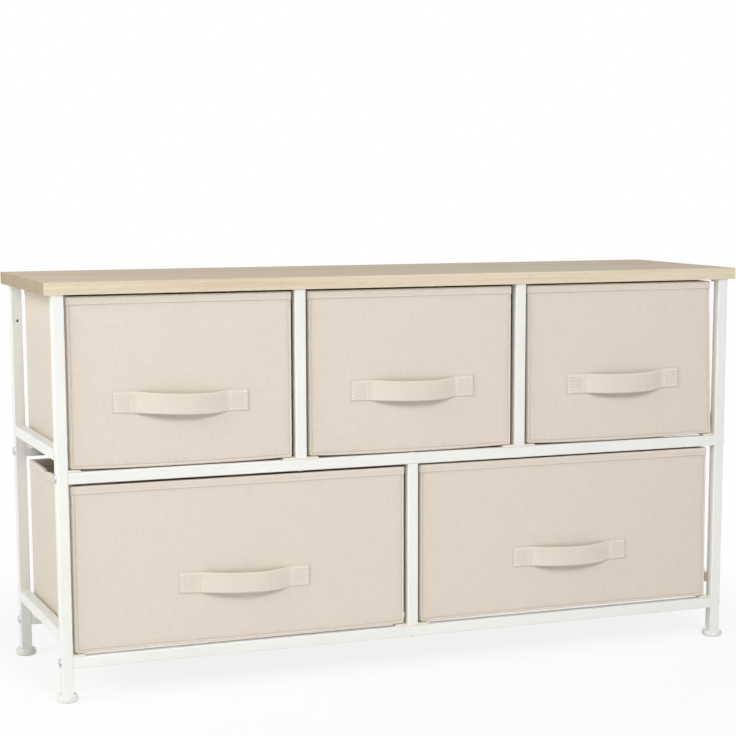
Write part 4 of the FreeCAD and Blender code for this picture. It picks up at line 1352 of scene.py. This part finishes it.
upright = add_node(bolt_tree, "FunctionNodeAlignRotationToVector", {"Vector": stored("aim")}, axis="Z")
joined = add_node(bolt_tree, "GeometryNodeJoinGeometry")
for part in ("head", "shank"):
    form = add_node(bolt_tree, "GeometryNodeObjectInfo", {"Object": given[part]})
    placed = add_node(bolt_tree, "GeometryNodeInstanceOnPoints",
                      {"Points": given["Geometry"], "Instance": form.outputs["Geometry"],
                       "Rotation": upright.outputs["Rotation"], "Scale": stored(part + "_size")})
    bolt_tree.links.new(placed.outputs["Instances"], joined.inputs["Geometry"])
end_tree(bolt_tree, joined.outputs["Geometry"], given["material"])

# %% Bolts in place
SHANK_RADIUS = 3.0 * MM
HEAD_DOME = 0.75           # share of the CAD head's height that the domed head has
HEAD_ONLY = 0.8            # points beyond this share of the radius belong to the head


def loose_parts(name):
    """The points of each loose part of a CAD node."""
    merged = bmesh.new()
    merged.from_mesh(nodes[name].data)
    bmesh.ops.remove_doubles(merged, verts=merged.verts, dist=MERGE)
    parts, seen = [], set()
    for first in merged.verts:
        if first in seen:
            continue
        seen.add(first)
        waiting, points = [first], []
        while waiting:
            vertex = waiting.pop()
            points.append(vertex.co[:])
            fresh = {edge.other_vert(vertex) for edge in vertex.link_edges} - seen
            seen |= fresh
            waiting += fresh
        parts.append(np.array(points))
    merged.free()
    return parts


def measure_bolt(points):
    """Where a bolt's head meets its shank, where the head looks, and both sizes."""
    low, high = points.min(axis=0), points.max(axis=0)
    k = int(np.argmax(high - low))
    middle, radius = (low + high) / 2, np.partition(high - low, 1)[1] / 2
    beside = np.delete(points - middle, k, axis=1)
    rim = points[np.hypot(*beside.T) > HEAD_ONLY * radius, k]
    outwards = 1.0 if rim.mean() > middle[k] else -1.0
    seat = rim.min() if outwards > 0 else rim.max()
    place = middle.copy()
    place[k] = seat
    aim = [0.0, 0.0, 0.0]
    aim[k] = outwards
    head = high[k] - seat if outwards > 0 else seat - low[k]
    shaft = (high[k] - low[k]) - head
    return place, aim, (radius, radius, HEAD_DOME * head), (SHANK_RADIUS, SHANK_RADIUS, shaft)


def make_bolts(node):
    found = [measure_bolt(points) for points in loose_parts(node)]
    mesh = bpy.data.meshes.new(node + "_set")
    mesh.from_pydata([place for place, *_ in found], [], [])
    for k, name in enumerate(("aim", "head_size", "shank_size"), start=1):
        values = np.array([bolt[k] for bolt in found], "f").ravel()
        mesh.attributes.new(name, "FLOAT_VECTOR", "POINT").data.foreach_set("vector", values)
    piece = grow(mesh, bolt_tree, bolt_inputs, head=head_form, shank=shank_form, material=zinc)
    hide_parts(node)
    heads, shanks = (sorted({round(bolt[k][2] * 1000, 1) for bolt in found}) for k in (2, 3))
    print(node, len(found), "bolts, heads", heads, "mm high, shanks", shanks, "mm long")
    return piece


bolt_pieces = [make_bolts(node) for node in ("frame_bolts", "divider_bolts")]
for form in (head_form, shank_form):
    bpy.data.objects.remove(form)

# %% [markdown]
# ## Rests
#
# A small moulded pad lies on the rail at each corner of a bin, and keeps its cloth off the
# steel. Its CAD shape is right, and only its sharp edges give it away, so a copy gets a
# rounded edge as a mould leaves it.

# %% Rests with moulded edges
REST_ROUND = 0.8 * MM


def make_rests(node):
    rest = broken_copy(node, node.replace("_rests", "_pads"), rest_plastic, REST_ROUND, segments=3)
    rest.data.shade_smooth()
    return rest


rest_pieces = [make_rests(node) for node in sorted(nodes) if node.endswith("_rests")]
print("rests in", len(rest_pieces), "sets")

# %% [markdown]
# ## Ride on the bodies
#
# Each piece rides on its CAD body, so that it moves with it.

# %% Ride on the bodies
for b in bins:
    for group in (skins, hems, linings, strap_pieces, stitches):
        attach(group[b.name], b.name)
    for board in boards[b.name]:
        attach(board, b.name)
for name, foot in foot_pieces.items():
    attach(foot, name)
for piece in bolt_pieces + rest_pieces:
    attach(piece, "frame")
